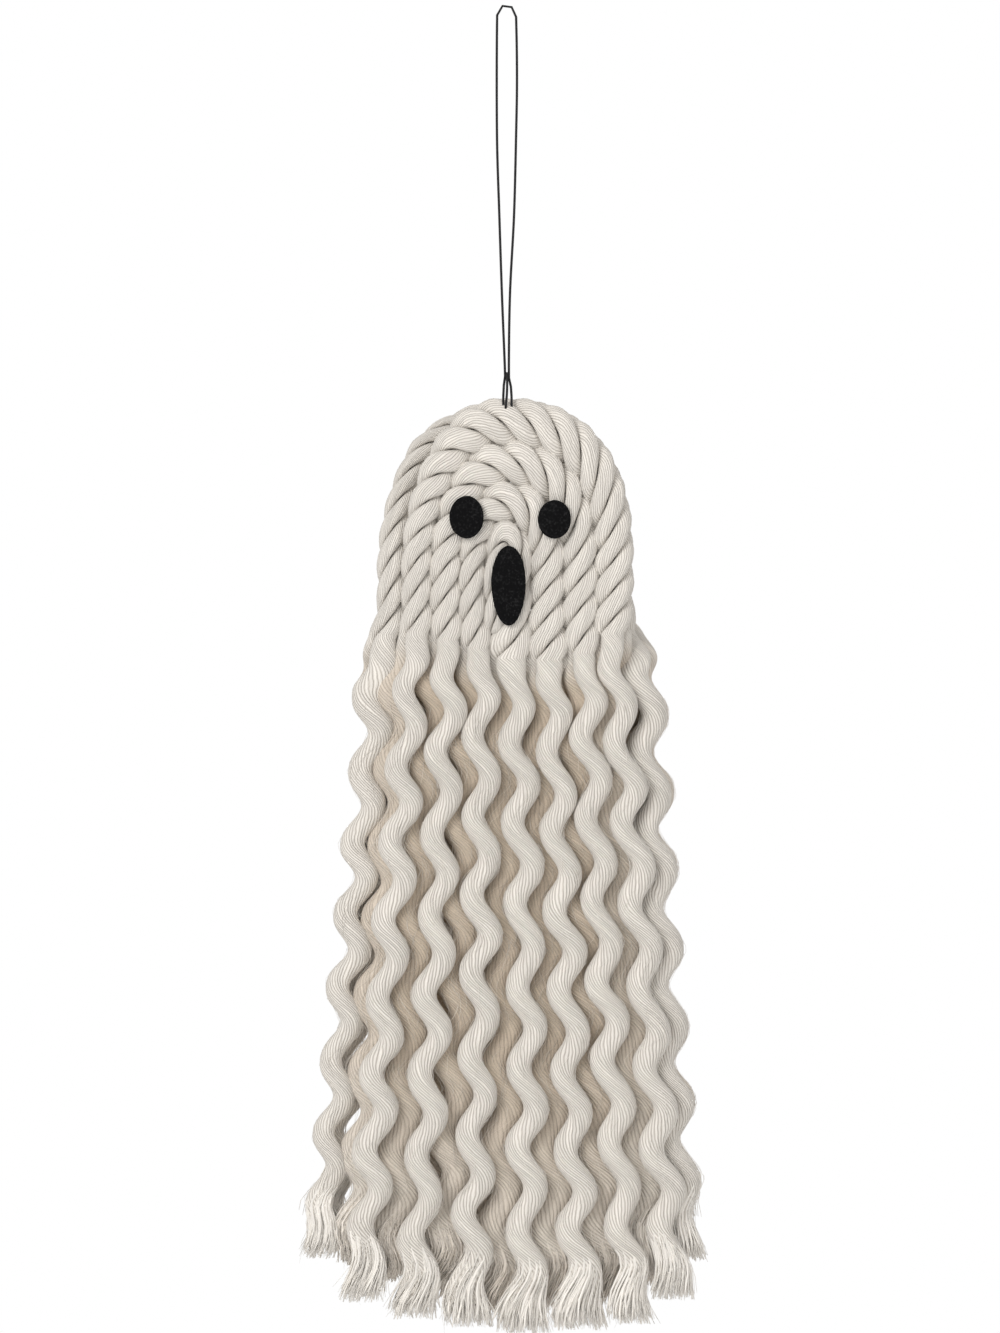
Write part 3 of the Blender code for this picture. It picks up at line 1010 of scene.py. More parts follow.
@dataclass(frozen=True)
class CordFinish(NapFinish):
    """Thin black cord, a little waxy."""

    name: str = "black_cord"
    base: Colour = (0.008, 0.008, 0.009)
    nap: Colour = (0.020, 0.020, 0.021)
    roughness: float = 0.55
    gloss: float = 0.20
    nap_scale: float = 2400.0


@dataclass(frozen=True)
class FibreLook:
    """Make-up of the fine nap that every soft surface here has."""

    fine_detail: float = 4.0
    coarse_detail: float = 2.0
    coarse_scale: float = 0.12
    fine_share: float = 0.85
    coarse_share: float = 0.15


class NodeDesk:
    """Short ways to add and join shader nodes in one tree."""

    MIX_INPUTS: tuple[int, int, int] = (0, 6, 7)
    MIX_RESULT: int = 2

    def __init__(self, tree: bpy.types.NodeTree) -> None:
        """Keep the tree."""
        self.tree = tree

    def add(self, kind: str, **values: object) -> bpy.types.Node:
        """Add a node.

        Args:
            kind: Type of the node.
            values: Properties to set on it.

        Returns:
            The node.
        """
        node = self.tree.nodes.new(kind)
        for name, value in values.items():
            setattr(node, name, value)
        return node

    def join(self, source: bpy.types.NodeSocket, target: bpy.types.NodeSocket) -> None:
        """Link an output to an input."""
        self.tree.links.new(source, target)

    def math(self, operation: str, first: object, second: object) -> bpy.types.NodeSocket:
        """Maths on two sockets or numbers.

        Args:
            operation: Name of the operation.
            first: Socket or number.
            second: Socket or number, or None where the operation takes one.

        Returns:
            The result's socket.
        """
        node = self.add("ShaderNodeMath", operation=operation)
        for socket, value in zip(node.inputs, (first, second)):
            if isinstance(value, bpy.types.NodeSocket):
                self.join(value, socket)
            elif value is not None:
                socket.default_value = value
        return node.outputs[0]

    def times(self, first: object, second: object) -> bpy.types.NodeSocket:
        """Product of two sockets or numbers."""
        return self.math("MULTIPLY", first, second)

    def plus(self, first: object, second: object) -> bpy.types.NodeSocket:
        """Sum of two sockets or numbers."""
        return self.math("ADD", first, second)

    def minus(self, first: object, second: object) -> bpy.types.NodeSocket:
        """Difference of two sockets or numbers."""
        return self.math("SUBTRACT", first, second)

    def mix(self, share: object, first: object, second: object,
            blend: str = "MIX") -> bpy.types.NodeSocket:
        """Blend of two colours.

        Args:
            share: Socket or number that says how much of the second colour shows.
            first: Socket or colour of three numbers.
            second: Socket or colour of three numbers.
            blend: Name of the blend.

        Returns:
            The blended colour's socket.
        """
        node = self.add("ShaderNodeMix", data_type="RGBA", blend_type=blend)
        for number, value in zip(self.MIX_INPUTS, (share, first, second)):
            socket = node.inputs[number]
            if isinstance(value, bpy.types.NodeSocket):
                self.join(value, socket)
            elif isinstance(value, tuple):
                socket.default_value = (*value, 1.0)
            else:
                socket.default_value = value
        return node.outputs[self.MIX_RESULT]

    def spread(self, value: bpy.types.NodeSocket, low: float, high: float) -> bpy.types.NodeSocket:
        """Smooth ramp over a range of values.

        Args:
            value: Socket to read.
            low: Value that gives 0.
            high: Value that gives 1.

        Returns:
            The ramp's socket.
        """
        node = self.add("ShaderNodeMapRange", interpolation_type="SMOOTHSTEP")
        self.join(value, node.inputs["Value"])
        node.inputs["From Min"].default_value = low
        node.inputs["From Max"].default_value = high
        return node.outputs["Result"]

    def noise(self, vector: bpy.types.NodeSocket, scale: object,
              detail: float) -> bpy.types.NodeSocket:
        """Noise at the places of a vector.

        Args:
            vector: Socket with the places.
            scale: Socket or number.
            detail: How many finer layers it has.

        Returns:
            The noise's socket.
        """
        node = self.add("ShaderNodeTexNoise")
        node.inputs["Detail"].default_value = detail
        self.join(vector, node.inputs["Vector"])
        if isinstance(scale, bpy.types.NodeSocket):
            self.join(scale, node.inputs["Scale"])
        else:
            node.inputs["Scale"].default_value = scale
        return node.outputs["Fac"]

    def stretched_noise(self, around: bpy.types.NodeSocket, along: bpy.types.NodeSocket,
                        scales: tuple[float, float], detail: float) -> bpy.types.NodeSocket:
        """Noise with its own scale in each direction of a strand's map.

        Args:
            around: Socket with the turns round the strand.
            along: Socket with the metres along it.
            scales: Scale in each of the two directions.
            detail: How many finer layers it has.

        Returns:
            The noise's socket.
        """
        places = self.add("ShaderNodeCombineXYZ")
        self.join(self.times(around, scales[0]), places.inputs[0])
        self.join(self.times(along, scales[1]), places.inputs[1])
        return self.noise(places.outputs[0], 1.0, detail)


def fibre_group(look: FibreLook) -> bpy.types.NodeTree:
    """Fine nap or lint that every soft surface here has.

    Args:
        look: Make-up of the nap.

    Returns:
        A group with Vector and Scale inputs, and Tone and Height outputs.
    """
    tree = bpy.data.node_groups.new("fine_fibres", "ShaderNodeTree")
    face = tree.interface
    face.new_socket(name="Vector", in_out="INPUT", socket_type="NodeSocketVector")
    face.new_socket(name="Scale", in_out="INPUT", socket_type="NodeSocketFloat")
    face.new_socket(name="Tone", in_out="OUTPUT", socket_type="NodeSocketFloat")
    face.new_socket(name="Height", in_out="OUTPUT", socket_type="NodeSocketFloat")
    desk = NodeDesk(tree)
    inlet = desk.add("NodeGroupInput")
    outlet = desk.add("NodeGroupOutput")
    vector, scale = inlet.outputs["Vector"], inlet.outputs["Scale"]
    fine = desk.noise(vector, scale, look.fine_detail)
    coarse = desk.noise(vector, desk.times(scale, look.coarse_scale), look.coarse_detail)
    tone = desk.plus(desk.times(fine, look.fine_share), desk.times(coarse, look.coarse_share))
    desk.join(tone, outlet.inputs["Tone"])
    desk.join(fine, outlet.inputs["Height"])
    return tree


class Wardrobe:
    """Makes the materials that the pieces wear."""

    def __init__(self) -> None:
        """Build the shared group once."""
        self.fibres = fibre_group(FibreLook())

    def blank(self, name: str) -> tuple[bpy.types.Material, NodeDesk, bpy.types.Node]:
        """New material.

        Args:
            name: Name of the material.

        Returns:
            The material, its desk and its shader.
        """
        material = bpy.data.materials.new(name)
        material.use_nodes = True
        return material, NodeDesk(material.node_tree), material.node_tree.nodes["Principled BSDF"]

    def nap(self, desk: NodeDesk, scale: float) -> bpy.types.Node:
        """Place the shared fibre group in a material.

        Args:
            desk: Desk of the material.
            scale: How fine the nap is.

        Returns:
            The group's node.
        """
        node = desk.add("ShaderNodeGroup")
        node.node_tree = self.fibres
        desk.join(desk.add("ShaderNodeTexCoord").outputs["Object"], node.inputs["Vector"])
        node.inputs["Scale"].default_value = scale
        return node

    def emboss(self, desk: NodeDesk, shader: bpy.types.Node, height: bpy.types.NodeSocket,
               strength: float, depth: float) -> None:
        """Give a shader fine relief.

        Args:
            desk: Desk of the material.
            shader: Shader that gets the relief.
            height: Socket with the height.
            strength: How strongly it shows.
            depth: How deep it is in metres.
        """
        bump = desk.add("ShaderNodeBump")
        bump.inputs["Strength"].default_value = strength
        bump.inputs["Distance"].default_value = depth
        desk.join(height, bump.inputs["Height"])
        desk.join(bump.outputs[0], shader.inputs["Normal"])

    def yarn_rows(self, desk: NodeDesk, finish: CottonFinish, count: int,
                  around: bpy.types.NodeSocket, along: bpy.types.NodeSocket
                  ) -> tuple[bpy.types.NodeSocket, bpy.types.NodeSocket]:
        """Rows of yarns that waver a little along the strand.

        Args:
            desk: Desk of the material.
            finish: How far the yarns waver and how round they are.
            count: How many yarns show round a strand.
            around: Socket with the turns round the strand.
            along: Socket with the metres along it.

        Returns:
            Height of the yarns' crowns, and a value of its own for each yarn.
        """
        drift = desk.stretched_noise(around, along, finish.drift_scales, finish.drift_detail)
        sway = desk.times(desk.minus(drift, 0.5), finish.drift_reach)
        rows = desk.plus(desk.times(around, float(count)), sway)
        centred = desk.minus(desk.times(desk.math("FRACT", rows, None), 2.0), 1.0)
        edge = desk.math("POWER", desk.math("ABSOLUTE", centred, None), finish.crown_power)
        own = desk.add("ShaderNodeTexWhiteNoise", noise_dimensions="1D")
        desk.join(desk.math("FLOOR", rows, None), own.inputs["W"])
        return desk.minus(1.0, edge), own.outputs["Value"]

    def cotton(self, finish: CottonFinish, yarns: YarnSizes) -> bpy.types.Material:
        """Cotton yarns that follow the strand's own map: across in turns, along in metres.

        Args:
            finish: Colours and relief.
            yarns: How many yarns show round a strand.

        Returns:
            The material.
        """
        material, desk, shader = self.blank("cotton_yarns")
        apart = desk.add("ShaderNodeSeparateXYZ")
        desk.join(desk.add("ShaderNodeUVMap", uv_map=YARN_MAP).outputs["UV"], apart.inputs[0])
        around, along = apart.outputs[0], apart.outputs[1]
        crown, own = self.yarn_rows(desk, finish, yarns.yarns_round, around, along)
        nap = self.nap(desk, finish.nap_scale)
        streaks = desk.stretched_noise(around, along, finish.streak_scales, finish.streak_detail)
        place = desk.add("ShaderNodeSeparateXYZ")
        desk.join(desk.add("ShaderNodeTexCoord").outputs["Object"], place.inputs[0])
        free = desk.spread(place.outputs[2], *finish.free_heights)
        # Mask of painted shade for strands that lie behind others.
        painted_shade = desk.add("ShaderNodeAttribute", attribute_name=DEPTH_SHADE).outputs["Fac"]
        loose = desk.add("ShaderNodeAttribute", attribute_name=LOOSE_YARN).outputs["Fac"]

        relief = desk.plus(desk.times(free, finish.free_relief), finish.laid_relief)
        relief = desk.times(relief, desk.minus(1.0, loose))
        relief = desk.times(relief, desk.minus(1.0, desk.times(painted_shade, finish.buried_matting)))

        # Painted shade: the warm dark shade colour mixed in by the depth_shade mask where a strand
        # lies behind others; painted light: the lighter tip colour on the loose yarns.
        cream = desk.mix(painted_shade, desk.mix(loose, finish.light, finish.tip), finish.shade)
        # Painted shade in the grooves between yarns: the dark colour, more of it on the free
        # strands, less on loose yarns and where the painted shade lies.
        groove_share = desk.plus(desk.times(free, finish.free_groove), finish.laid_groove)
        groove_share = desk.times(desk.minus(1.0, crown), groove_share)
        groove_share = desk.times(groove_share, relief)
        groove_shaded = desk.mix(groove_share, cream, finish.groove_shade)

        tone = desk.plus(desk.times(own, finish.yarn_tone), desk.times(streaks, finish.streak_tone))
        fuzz = desk.plus(desk.times(painted_shade, finish.buried_nap_tone), finish.nap_tone)
        tone = desk.plus(desk.times(nap.outputs["Tone"], fuzz), tone)
        tone = desk.minus(tone, desk.times(painted_shade, finish.buried_darkening))
        level = desk.minus(desk.plus(tone, finish.plain_tone),
                           desk.times(free, finish.free_darkening))
        grey = desk.add("ShaderNodeCombineColor")
        for socket in grey.inputs[:3]:
            desk.join(level, socket)
        toned = desk.mix(1.0, groove_shaded, grey.outputs[0], "MULTIPLY")
        desk.join(toned, shader.inputs["Base Color"])

        height = desk.plus(desk.times(crown, relief), desk.times(streaks, finish.streak_height))
        height = desk.plus(height, desk.times(nap.outputs["Height"], finish.nap_height))
        self.emboss(desk, shader, height, finish.bump_strength, finish.groove_depth)
        shader.inputs["Roughness"].default_value = finish.roughness
        shader.inputs["Specular IOR Level"].default_value = finish.gloss
        shader.inputs["Sheen Weight"].default_value = finish.sheen
        shader.inputs["Sheen Roughness"].default_value = finish.sheen_roughness
        return material

    def matted(self, finish: NapFinish) -> bpy.types.Material:
        """Plain dark material with a nap of lighter fibres.

        Args:
            finish: Its name, colours, gloss and nap.

        Returns:
            The material.
        """
        material, desk, shader = self.blank(finish.name)
        fibres = self.nap(desk, finish.nap_scale)
        share = desk.spread(fibres.outputs["Tone"], *finish.nap_tones)
        desk.join(desk.mix(share, finish.base, finish.nap), shader.inputs["Base Color"])
        self.emboss(desk, shader, fibres.outputs["Height"], finish.bump_strength,
                    finish.bump_depth)
        shader.inputs["Roughness"].default_value = finish.roughness
        shader.inputs["Specular IOR Level"].default_value = finish.gloss
        return material


class TubeForm:
    """Closed tube rolled from a grid, kept with the row and the column of each of its corners."""

    MERGE_DISTANCE: float = 1e-4

    def __init__(self, rows: int, columns: int) -> None:
        """Roll and close the tube.

        Args:
            rows: How many sections it has.
            columns: How many corners a section has.
        """
        tube = bmesh.new()
        uv_layer = tube.loops.layers.uv.new(YARN_MAP)
        bmesh.ops.create_grid(tube, x_segments=columns, y_segments=rows - 1, size=1.0,
                              calc_uvs=True)
        for vert in tube.verts:
            turn = math.pi * (vert.co.x + 1.0)
            level = (vert.co.y + 1.0) / 2.0 * (rows - 1)
            vert.co = (math.cos(turn), math.sin(turn), level)
        bmesh.ops.remove_doubles(tube, verts=tube.verts, dist=self.MERGE_DISTANCE)
        rims = [edge for edge in tube.edges if edge.is_boundary]
        caps = bmesh.ops.holes_fill(tube, edges=rims, sides=0)["faces"]
        for face in caps:
            for loop in face.loops:
                turn = math.atan2(loop.vert.co.y, loop.vert.co.x) % (2 * math.pi)
                loop[uv_layer].uv = (turn / (2 * math.pi), loop.vert.co.z / (rows - 1))
        self.mesh = bpy.data.meshes.new("tube_form")
        tube.to_mesh(self.mesh)
        tube.free()
        places = np.empty(len(self.mesh.vertices) * 3)
        self.mesh.vertices.foreach_get("co", places)
        places = places.reshape(-1, 3)
        turns = np.arctan2(places[:, 1], places[:, 0]) / (2 * math.pi) * columns
        self.columns = np.rint(turns).astype(int) % columns
        self.rows = np.rint(places[:, 2]).astype(int)
        marks = np.empty(len(self.mesh.loops) * 2)
        self.mesh.uv_layers[0].data.foreach_get("uv", marks)
        marks = marks.reshape(-1, 2)
        self.loop_turns = marks[:, 0]
        self.loop_rows = np.rint(marks[:, 1] * (rows - 1)).astype(int)


class Bundle:
    """Collects tubes of yarn into one mesh."""

    REARWARD_FADE: float = 0.75
    END_TAPER: float = 0.60

    def __init__(self, name: str) -> None:
        """Start with nothing in it.

        Args:
            name: Name of the piece that it becomes.
        """
        self.name = name
        self.whole = bmesh.new()
        self.places: list[np.ndarray] = []
        self.maps: list[np.ndarray] = []
        self.shades: list[np.ndarray] = []
        self.loose: list[np.ndarray] = []

    def add(self, form: TubeForm, rings: np.ndarray, turns: np.ndarray, lengths: np.ndarray,
            shades: np.ndarray) -> None:
        """Lay one more tube through its sections.

        Args:
            form: Tube of as many rows and columns.
            rings: Sections, each a closed ring of points.
            turns: How far the yarns have turned at each section.
            lengths: Length along the tube at each section.
            shades: How much painted shade the tube's colour gets at each section.
        """
        self.whole.from_mesh(form.mesh)
        self.places.append(rings[form.rows, form.columns])
        self.maps.append(np.column_stack((form.loop_turns + turns[form.loop_rows],
                                          lengths[form.loop_rows])))
        # Painted shade, fading towards the rearward side of each section so that a strand keeps its
        # cream back.
        depth = rings[:, :, 1] - rings[:, :, 1].mean(axis=1, keepdims=True)
        rearward = np.clip(depth / np.abs(depth).max(axis=1, keepdims=True), 0.0, 1.0)
        shade_share = shades[:, None] * (1.0 - self.REARWARD_FADE * rearward)
        self.shades.append(shade_share[form.rows, form.columns])
        self.loose.append(np.zeros(len(form.rows)))

    def add_thread(self, form: TubeForm, path: np.ndarray, thread: ThreadSizes, turn: float,
                   shade: float) -> None:
        """Lay a thin thread that runs mostly down and gets thinner at its end.

        Args:
            form: Tube of as many rows and sides.
            path: Points down the thread.
            thread: Its sides and radius.
            turn: Which yarn's tone it takes.
            shade: How much painted shade its colour gets.
        """
        turns = 2 * math.pi * np.arange(thread.sides) / thread.sides
        circle = np.column_stack((np.cos(turns), np.sin(turns), np.zeros(thread.sides)))
        shares = np.linspace(0.0, 1.0, len(path))
        radii = thread.radius * (1.0 - self.END_TAPER * shares ** 3)
        rings = path[:, None, :] + radii[:, None, None] * circle[None, :, :]
        steps = np.linspace(0.0, float(abs(path[-1, 2] - path[0, 2])), len(path))
        self.whole.from_mesh(form.mesh)
        self.places.append(rings[form.rows, form.columns])
        self.maps.append(np.column_stack((np.full(len(form.loop_rows), turn),
                                          steps[form.loop_rows])))
        self.shades.append(np.full(len(form.rows), shade))
        self.loose.append(np.ones(len(form.rows)))

    def finish(self, material: bpy.types.Material) -> bpy.types.Object:
        """Make the piece.

        Args:
            material: What it is made of.

        Returns:
            The piece, with its faces outwards.
        """
        mesh = bpy.data.meshes.new(self.name)
        self.whole.to_mesh(mesh)
        mesh.vertices.foreach_set("co", np.concatenate(self.places).ravel())
        mesh.uv_layers[0].data.foreach_set("uv", np.concatenate(self.maps).ravel())
        self.whole.clear()
        self.whole.from_mesh(mesh)
        bmesh.ops.recalc_face_normals(self.whole, faces=self.whole.faces)
        self.whole.to_mesh(mesh)
        self.whole.free()
        for name, values in ((DEPTH_SHADE, self.shades), (LOOSE_YARN, self.loose)):
            mask = mesh.attributes.new(name, "FLOAT", "POINT")
            mask.data.foreach_set("value", np.concatenate(values))
        mesh.shade_smooth()
        mesh.materials.append(material)
        return put_in_scene(self.name, mesh)


class StrandMaker:
    """Builds strands with the yarns that fray out of their tips and the fibres that stand off."""

    THREAD_SEED: int = 100

    def __init__(self, yarns: YarnSizes, material: bpy.types.Material) -> None:
        """Make the forms that every strand shares.

        Args:
            yarns: How finely the strands are made.
            material: Cotton.
        """
        self.yarns = yarns
        self.material = material
        self.thick_form, self.thin_form, self.hair_form = (
            TubeForm(thread.steps + 1, thread.sides)
            for thread in (yarns.thick, yarns.thin, yarns.front_hairs))

    def build(self, strand: Strand) -> bpy.types.Object:
        """Make one strand and let it stand for its solid.

        Args:
            strand: Where it runs.

        Returns:
            The finished piece.
        """
        bundle = Bundle(strand.name + "_yarns")
        rings, turns, lengths = strand.rings()
        form = TubeForm(len(rings), self.yarns.around)
        bundle.add(form, rings, turns, lengths, strand.shades())
        bpy.data.meshes.remove(form.mesh)
        seed = self.THREAD_SEED + 10 * strand.rope.index + strand.number
        randoms = np.random.default_rng(seed)
        for leg in strand.rope.legs:
            if leg is not None:
                self.add_threads(bundle, strand, leg, randoms)
        piece = bundle.finish(self.material)
        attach(piece, "root")
        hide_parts(strand.name)
        return piece

    def add_threads(self, bundle: Bundle, strand: Strand, leg: int,
                    randoms: np.random.Generator) -> None:
        """Lay a leg's loose yarns, thick and thin, and the fibres that stand off it.

        Args:
            bundle: Bundle that they are added to.
            strand: Strand that they belong to.
            leg: Leg that they are on.
            randoms: Seeded source of chance.
        """
        yarns = self.yarns
        in_front = strand.layer(leg) is Layer.FRONT
        hairs = yarns.front_hairs if in_front else yarns.back_hairs
        # The threads take the strand's painted shade at one height.
        shade = strand.shade_at(leg, yarns.shade.thread_drop)
        kinds = ((yarns.thick, self.thick_form, strand.loose_yarn),
                 (yarns.thin, self.thin_form, strand.loose_yarn),
                 (hairs, self.hair_form, strand.stray_hair))
        for thread, form, path_of in kinds:
            for number in range(thread.count):
                bundle.add_thread(form, path_of(leg, thread, randoms), thread,
                                  (number + 0.5) / yarns.yarns_round, thread.shade_share * shade)


@dataclass
class RopeWork:
    """All five ropes with their fifteen strands."""

    STRANDS_IN_ROPE: ClassVar[int] = 3

    head: HeadSizes = field(default_factory=HeadSizes)
    fringe_sizes: FringeSizes = field(default_factory=FringeSizes)
    yarns: YarnSizes = field(default_factory=YarnSizes)
    legs: tuple[tuple[int | None, int], ...] = ((0, 8), (1, 7), (2, 6), (3, 5), (None, 4))

    def build(self, wardrobe: Wardrobe) -> list[bpy.types.Object]:
        """Make every strand.

        Args:
            wardrobe: Maker of the materials.

        Returns:
            The pieces.
        """
        fringe = Fringe(self.head, self.fringe_sizes)
        section = StrandSection(self.yarns.around)
        maker = StrandMaker(self.yarns, wardrobe.cotton(CottonFinish(), self.yarns))
        pieces = []
        for index, legs in enumerate(self.legs):
            rope = RopePath(index, legs, len(self.legs), self.head, fringe)
            for number in range(self.STRANDS_IN_ROPE):
                pieces.append(maker.build(Strand(rope, number, section, self.yarns)))
        return pieces


@dataclass
class FeltOval:
    """One felt piece of the face, cut a little unevenly by hand."""

    EDGE_FACE_CORNERS: ClassVar[int] = 4

    name: str
    seed: float
    corners: int = 120
    edge: float = 0.0004
    edge_steps: int = 3
    raggedness: float = 0.012
    ragged_stretch: float = 0.02
    tall_from: float = 1.5
    tall_taper: float = 0.06

    def build(self, material: bpy.types.Material) -> bpy.types.Object:
        """Make the piece over its solid's box.

        Args:
            material: Black felt.

        Returns:
            The finished piece.
        """
        low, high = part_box(self.name)
        size = [b - a for a, b in zip(low, high)]
        centre = [(a + b) / 2 for a, b in zip(low, high)]
        taper = self.tall_taper if size[2] > self.tall_from * size[0] else 0.0
        felt = bmesh.new()
        bmesh.ops.create_circle(felt, cap_ends=True, segments=self.corners, radius=1.0)
        for vert in felt.verts:
            turn = math.atan2(vert.co.y, vert.co.x)
            ragged = 1.0 - self.raggedness * (1 + wander(self.ragged_stretch * turn, self.seed))
            up = vert.co.y
            vert.co = (ragged * vert.co.x * size[0] / 2 * (1.0 + taper * up), 0.0,
                       ragged * up * size[2] / 2)
        grown = bmesh.ops.extrude_face_region(felt, geom=list(felt.faces))
        top = [item for item in grown["geom"] if isinstance(item, bmesh.types.BMVert)]
        bmesh.ops.translate(felt, verts=top, vec=(0.0, -size[1], 0.0))
        bmesh.ops.translate(felt, verts=felt.verts, vec=(0.0, size[1] / 2, 0.0))
        bmesh.ops.recalc_face_normals(felt, faces=felt.faces)
        rims = [edge for edge in felt.edges if len(edge.link_faces) == 2
                and max(len(face.verts) for face in edge.link_faces) > self.EDGE_FACE_CORNERS]
        bmesh.ops.bevel(felt, geom=rims, offset=self.edge, segments=self.edge_steps,
                        affect="EDGES", profile=0.5, material=-1)
        bmesh.ops.translate(felt, verts=felt.verts, vec=centre)
        mesh = bpy.data.meshes.new(self.name + "_felt")
        felt.to_mesh(mesh)
        felt.free()
        mesh.shade_smooth()
        mesh.materials.append(material)
        piece = put_in_scene(self.name + "_felt", mesh)
        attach(piece, "root")
        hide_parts(self.name)
        return piece


@dataclass
class HangingLoop:
    """Thin cord: from the front of the head up, over the bight and down again."""

    diameter: float = 0.00085
    rope_depth: float = 0.0104
    top_z: float = -0.1337
    points: int = 76
    tuck_points: int = 36
    steps_between: int = 40
    round_steps: int = 3

    @property
    def front(self) -> float:
        """Y of the cord's centre where it lies on the front of the rope."""
        return -(self.rope_depth / 2 + self.diameter / 2)

    def route(self) -> list[Triple]:
        """Route's own points, the same as the solid's.

        Returns:
            Points from the left end at the head, over the bight, to the right end.
        """
        top = self.top_z
        front = self.front
        bight = self.diameter / 2
        return [
            (-0.00125, 0.68 * front, top - 0.0024),
            (-0.00125, 0.33 * front, top + 0.0008),
            (-0.00105, 0.22 * front, top + 0.0047),
            (-0.00065, 0.16 * front, top + 0.0078),
            (-0.0017, 0.10 * front, top + 0.0349),
            (-0.0026, 0.0, top + 0.0623),
            (-0.0034, 0.0, top + 0.0895),
            (-0.0034, 0.0, bight - 0.0085),
            (-0.0029, 0.0, bight - 0.0029),
            (-0.0002, 0.0, bight),
            (0.0027, 0.0, bight - 0.0029),
            (0.0032, 0.0, bight - 0.0085),
            (0.0034, 0.0, bight - 0.0265),
            (0.0031, 0.0, top + 0.0895),
            (0.0024, 0.0, top + 0.0623),
            (0.0010, 0.10 * front, top + 0.0349),
            (0.00065, 0.16 * front, top + 0.0078),
            (0.00125, 0.22 * front, top + 0.0047),
            (0.00155, 0.32 * front, top + 0.0008),
            (0.00155, 0.67 * front, top - 0.0030),
        ]

    def tuck_route(self) -> list[Triple]:
        """Points of the hitch's tuck, from inside the rope over its front to the knot.

        Returns:
            Points from below to above.
        """
        top = self.top_z
        front = self.front
        return [
            (-0.00045, 0.74 * front, top - 0.0034),
            (-0.00035, 0.86 * front, top - 0.0020),
            (-0.00015, 0.74 * front, top - 0.0002),
            (0.0, 0.56 * front, top + 0.0022),
            (0.00006, 0.42 * front, top + 0.0048),
            (0.00004, 0.30 * front, top + 0.0068),
            (0.0, 0.19 * front, top + 0.0088),
        ]

    def smooth(self, points: list[Triple], count: int) -> np.ndarray:
        """Smooth curve through points.

        Args:
            points: Points to go through.
            count: How many places are wanted.

        Returns:
            Evenly spaced places on the curve.
        """
        route = np.array(points)
        padded = np.vstack((2 * route[0] - route[1], route, 2 * route[-1] - route[-2]))
        dense = []
        for a, b, c, d in zip(padded, padded[1:], padded[2:], padded[3:]):
            for share in np.linspace(0.0, 1.0, self.steps_between, endpoint=False):
                dense.append(smooth_point(a, b, c, d, share))
        return even_points(np.array(dense + [route[-1]]), count, closed=False)

    def cord_curve(self, name: str, places: np.ndarray,
                   material: bpy.types.Material) -> bpy.types.Object:
        """Round cord along a route.

        Args:
            name: Name of the piece.
            places: Places that it runs through.
            material: Black cord.

        Returns:
            The piece, riding on the body.
        """
        curve = bpy.data.curves.new(name, "CURVE")
        curve.dimensions = "3D"
        curve.bevel_depth = self.diameter / 2
        curve.bevel_resolution = self.round_steps
        curve.use_fill_caps = True
        spline = curve.splines.new("POLY")
        spline.points.add(len(places) - 1)
        for point, place in zip(spline.points, places):
            point.co = (*place, 1.0)
        curve.materials.append(material)
        piece = put_in_scene(name, curve)
        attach(piece, "root")
        return piece

    def build(self, material: bpy.types.Material) -> list[bpy.types.Object]:
        """Make the loop and the tuck of its hitch.

        Args:
            material: Black cord.

        Returns:
            The pieces.
        """
        places = self.smooth(self.route(), self.points)
        loop = self.cord_curve("hanging_loop_cord", places, material)
        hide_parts("hanging_loop")
        tuck_places = self.smooth(self.tuck_route(), self.tuck_points)
        tuck = self.cord_curve("hitch_tuck", tuck_places, material)
        return [loop, tuck]


@dataclass(frozen=True)
class Lamp:
    """One square soft lamp: its place, the length of its side in metres and its power in watts."""

    name: str
    place: Triple
    size: float
    power: float


@dataclass(frozen=True)
class FloorPlan:
    """Plain pale floor a little below the fringe."""

    half_side: float = 0.75
    centre: Triple = (0.0, -0.35, -0.56)
    colour: Colour = (0.86, 0.86, 0.86)
    roughness: float = 0.9


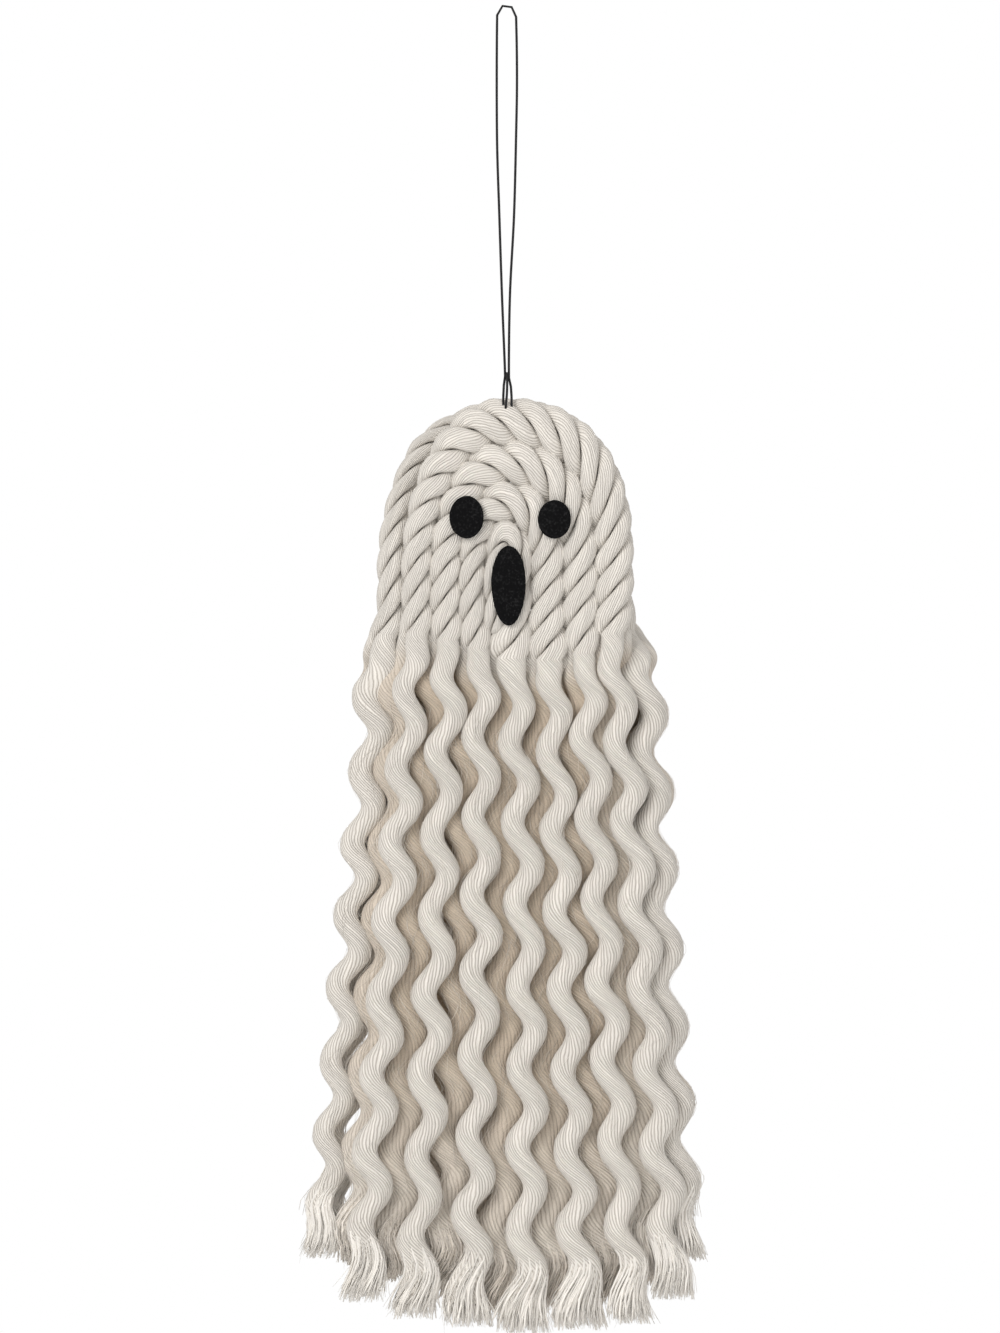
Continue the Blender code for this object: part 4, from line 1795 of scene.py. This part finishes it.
@dataclass
class Studio:
    """Pale floor, soft light and the camera of the photograph."""

    image: tuple[int, int] = (1000, 1333)
    metres_a_pixel: float = 0.000339
    hang_point_pixel: tuple[float, float] = (507.0, 3.5)
    distance: float = 2.6
    face_y: float = -0.006
    sensor_height: float = 36.0
    clip_end: float = 20.0
    floor: FloorPlan = FloorPlan()
    lamps: tuple[Lamp, ...] = (
        Lamp("key_lamp", place=(-1.50, -2.20, 1.00), size=1.45, power=45.0),
        Lamp("fill_lamp", place=(1.0, -1.20, -0.15), size=1.4, power=4.2),
        Lamp("back_lamp", place=(0.70, 1.90, 0.60), size=1.4, power=16.0))
    lamp_colour: Colour = (1.0, 0.985, 0.965)
    lamp_target: Triple = (0.0, 0.0, -0.24)
    soft_light: Colour = (0.52, 0.507, 0.49)
    backdrop: Colour = (1.0, 1.0, 1.0)

    def build(self) -> None:
        """Make the floor, the lamps, the world and the camera."""
        self.make_floor()
        for lamp in self.lamps:
            self.make_lamp(lamp)
        self.make_world()
        self.make_camera()

    def make_floor(self) -> None:
        """Lay the floor."""
        plan = self.floor
        floor = bmesh.new()
        bmesh.ops.create_grid(floor, x_segments=1, y_segments=1, size=plan.half_side)
        bmesh.ops.translate(floor, verts=floor.verts, vec=plan.centre)
        mesh = bpy.data.meshes.new("floor")
        floor.to_mesh(mesh)
        floor.free()
        material = bpy.data.materials.new("pale_floor")
        material.use_nodes = True
        shader = material.node_tree.nodes["Principled BSDF"]
        shader.inputs["Base Color"].default_value = (*plan.colour, 1.0)
        shader.inputs["Roughness"].default_value = plan.roughness
        mesh.materials.append(material)
        put_in_scene("floor", mesh)

    def make_lamp(self, plan: Lamp) -> None:
        """Hang a lamp so that it faces the ornament.

        Args:
            plan: Where it hangs and how strong it is.
        """
        lamp = bpy.data.lights.new(plan.name, "AREA")
        lamp.size = plan.size
        lamp.energy = plan.power
        lamp.color = self.lamp_colour
        piece = put_in_scene(plan.name, lamp)
        piece.location = plan.place
        aim = np.array(self.lamp_target) - np.array(plan.place)
        piece.rotation_euler = (math.atan2(math.hypot(aim[0], aim[1]), -aim[2]), 0.0,
                                math.atan2(-aim[0], aim[1]))

    def make_world(self) -> None:
        """Soft light from all round, white where the camera looks past the object."""
        world = bpy.data.worlds.new("studio")
        bpy.context.scene.world = world
        world.use_nodes = True
        desk = NodeDesk(world.node_tree)
        sky = world.node_tree.nodes["Background"]
        path = desk.add("ShaderNodeLightPath")
        seen = desk.math("MAXIMUM", path.outputs["Is Camera Ray"], path.outputs["Is Glossy Ray"])
        seen = desk.math("MAXIMUM", seen, path.outputs["Is Transmission Ray"])
        desk.join(desk.mix(seen, self.soft_light, self.backdrop), sky.inputs["Color"])
        sky.inputs["Strength"].default_value = 1.0

    def make_camera(self) -> None:
        """Long lens, level with the middle of the picture."""
        camera = bpy.data.cameras.new("camera")
        camera.sensor_fit = "VERTICAL"
        camera.sensor_height = self.sensor_height
        height = self.image[1] * self.metres_a_pixel
        camera.lens = camera.sensor_height * self.distance / height
        camera.clip_end = self.clip_end
        piece = put_in_scene("camera", camera)
        x = (self.image[0] / 2 - self.hang_point_pixel[0]) * self.metres_a_pixel
        z = -(self.image[1] / 2 - self.hang_point_pixel[1]) * self.metres_a_pixel
        piece.location = (x, self.face_y - self.distance, z)
        piece.rotation_euler = (math.pi / 2, 0.0, 0.0)
        bpy.context.scene.camera = piece


def main() -> None:
    """Build everything in order and say what was made."""
    bpy.context.scene.view_settings.view_transform = "Standard"
    Studio().build()
    wardrobe = Wardrobe()
    for piece in HangingLoop().build(wardrobe.matted(CordFinish())):
        LOG.info("made %s", piece.name)
    felt = wardrobe.matted(FeltFinish())
    for number, name in enumerate(FACE_PIECES):
        piece = FeltOval(name, seed=FACE_SEED_STEP * number).build(felt)
        LOG.info("made %s", piece.name)
    for piece in RopeWork().build(wardrobe):
        LOG.info("made %s with %d faces", piece.name, len(piece.data.polygons))


if __name__ == "__main__":
    main()
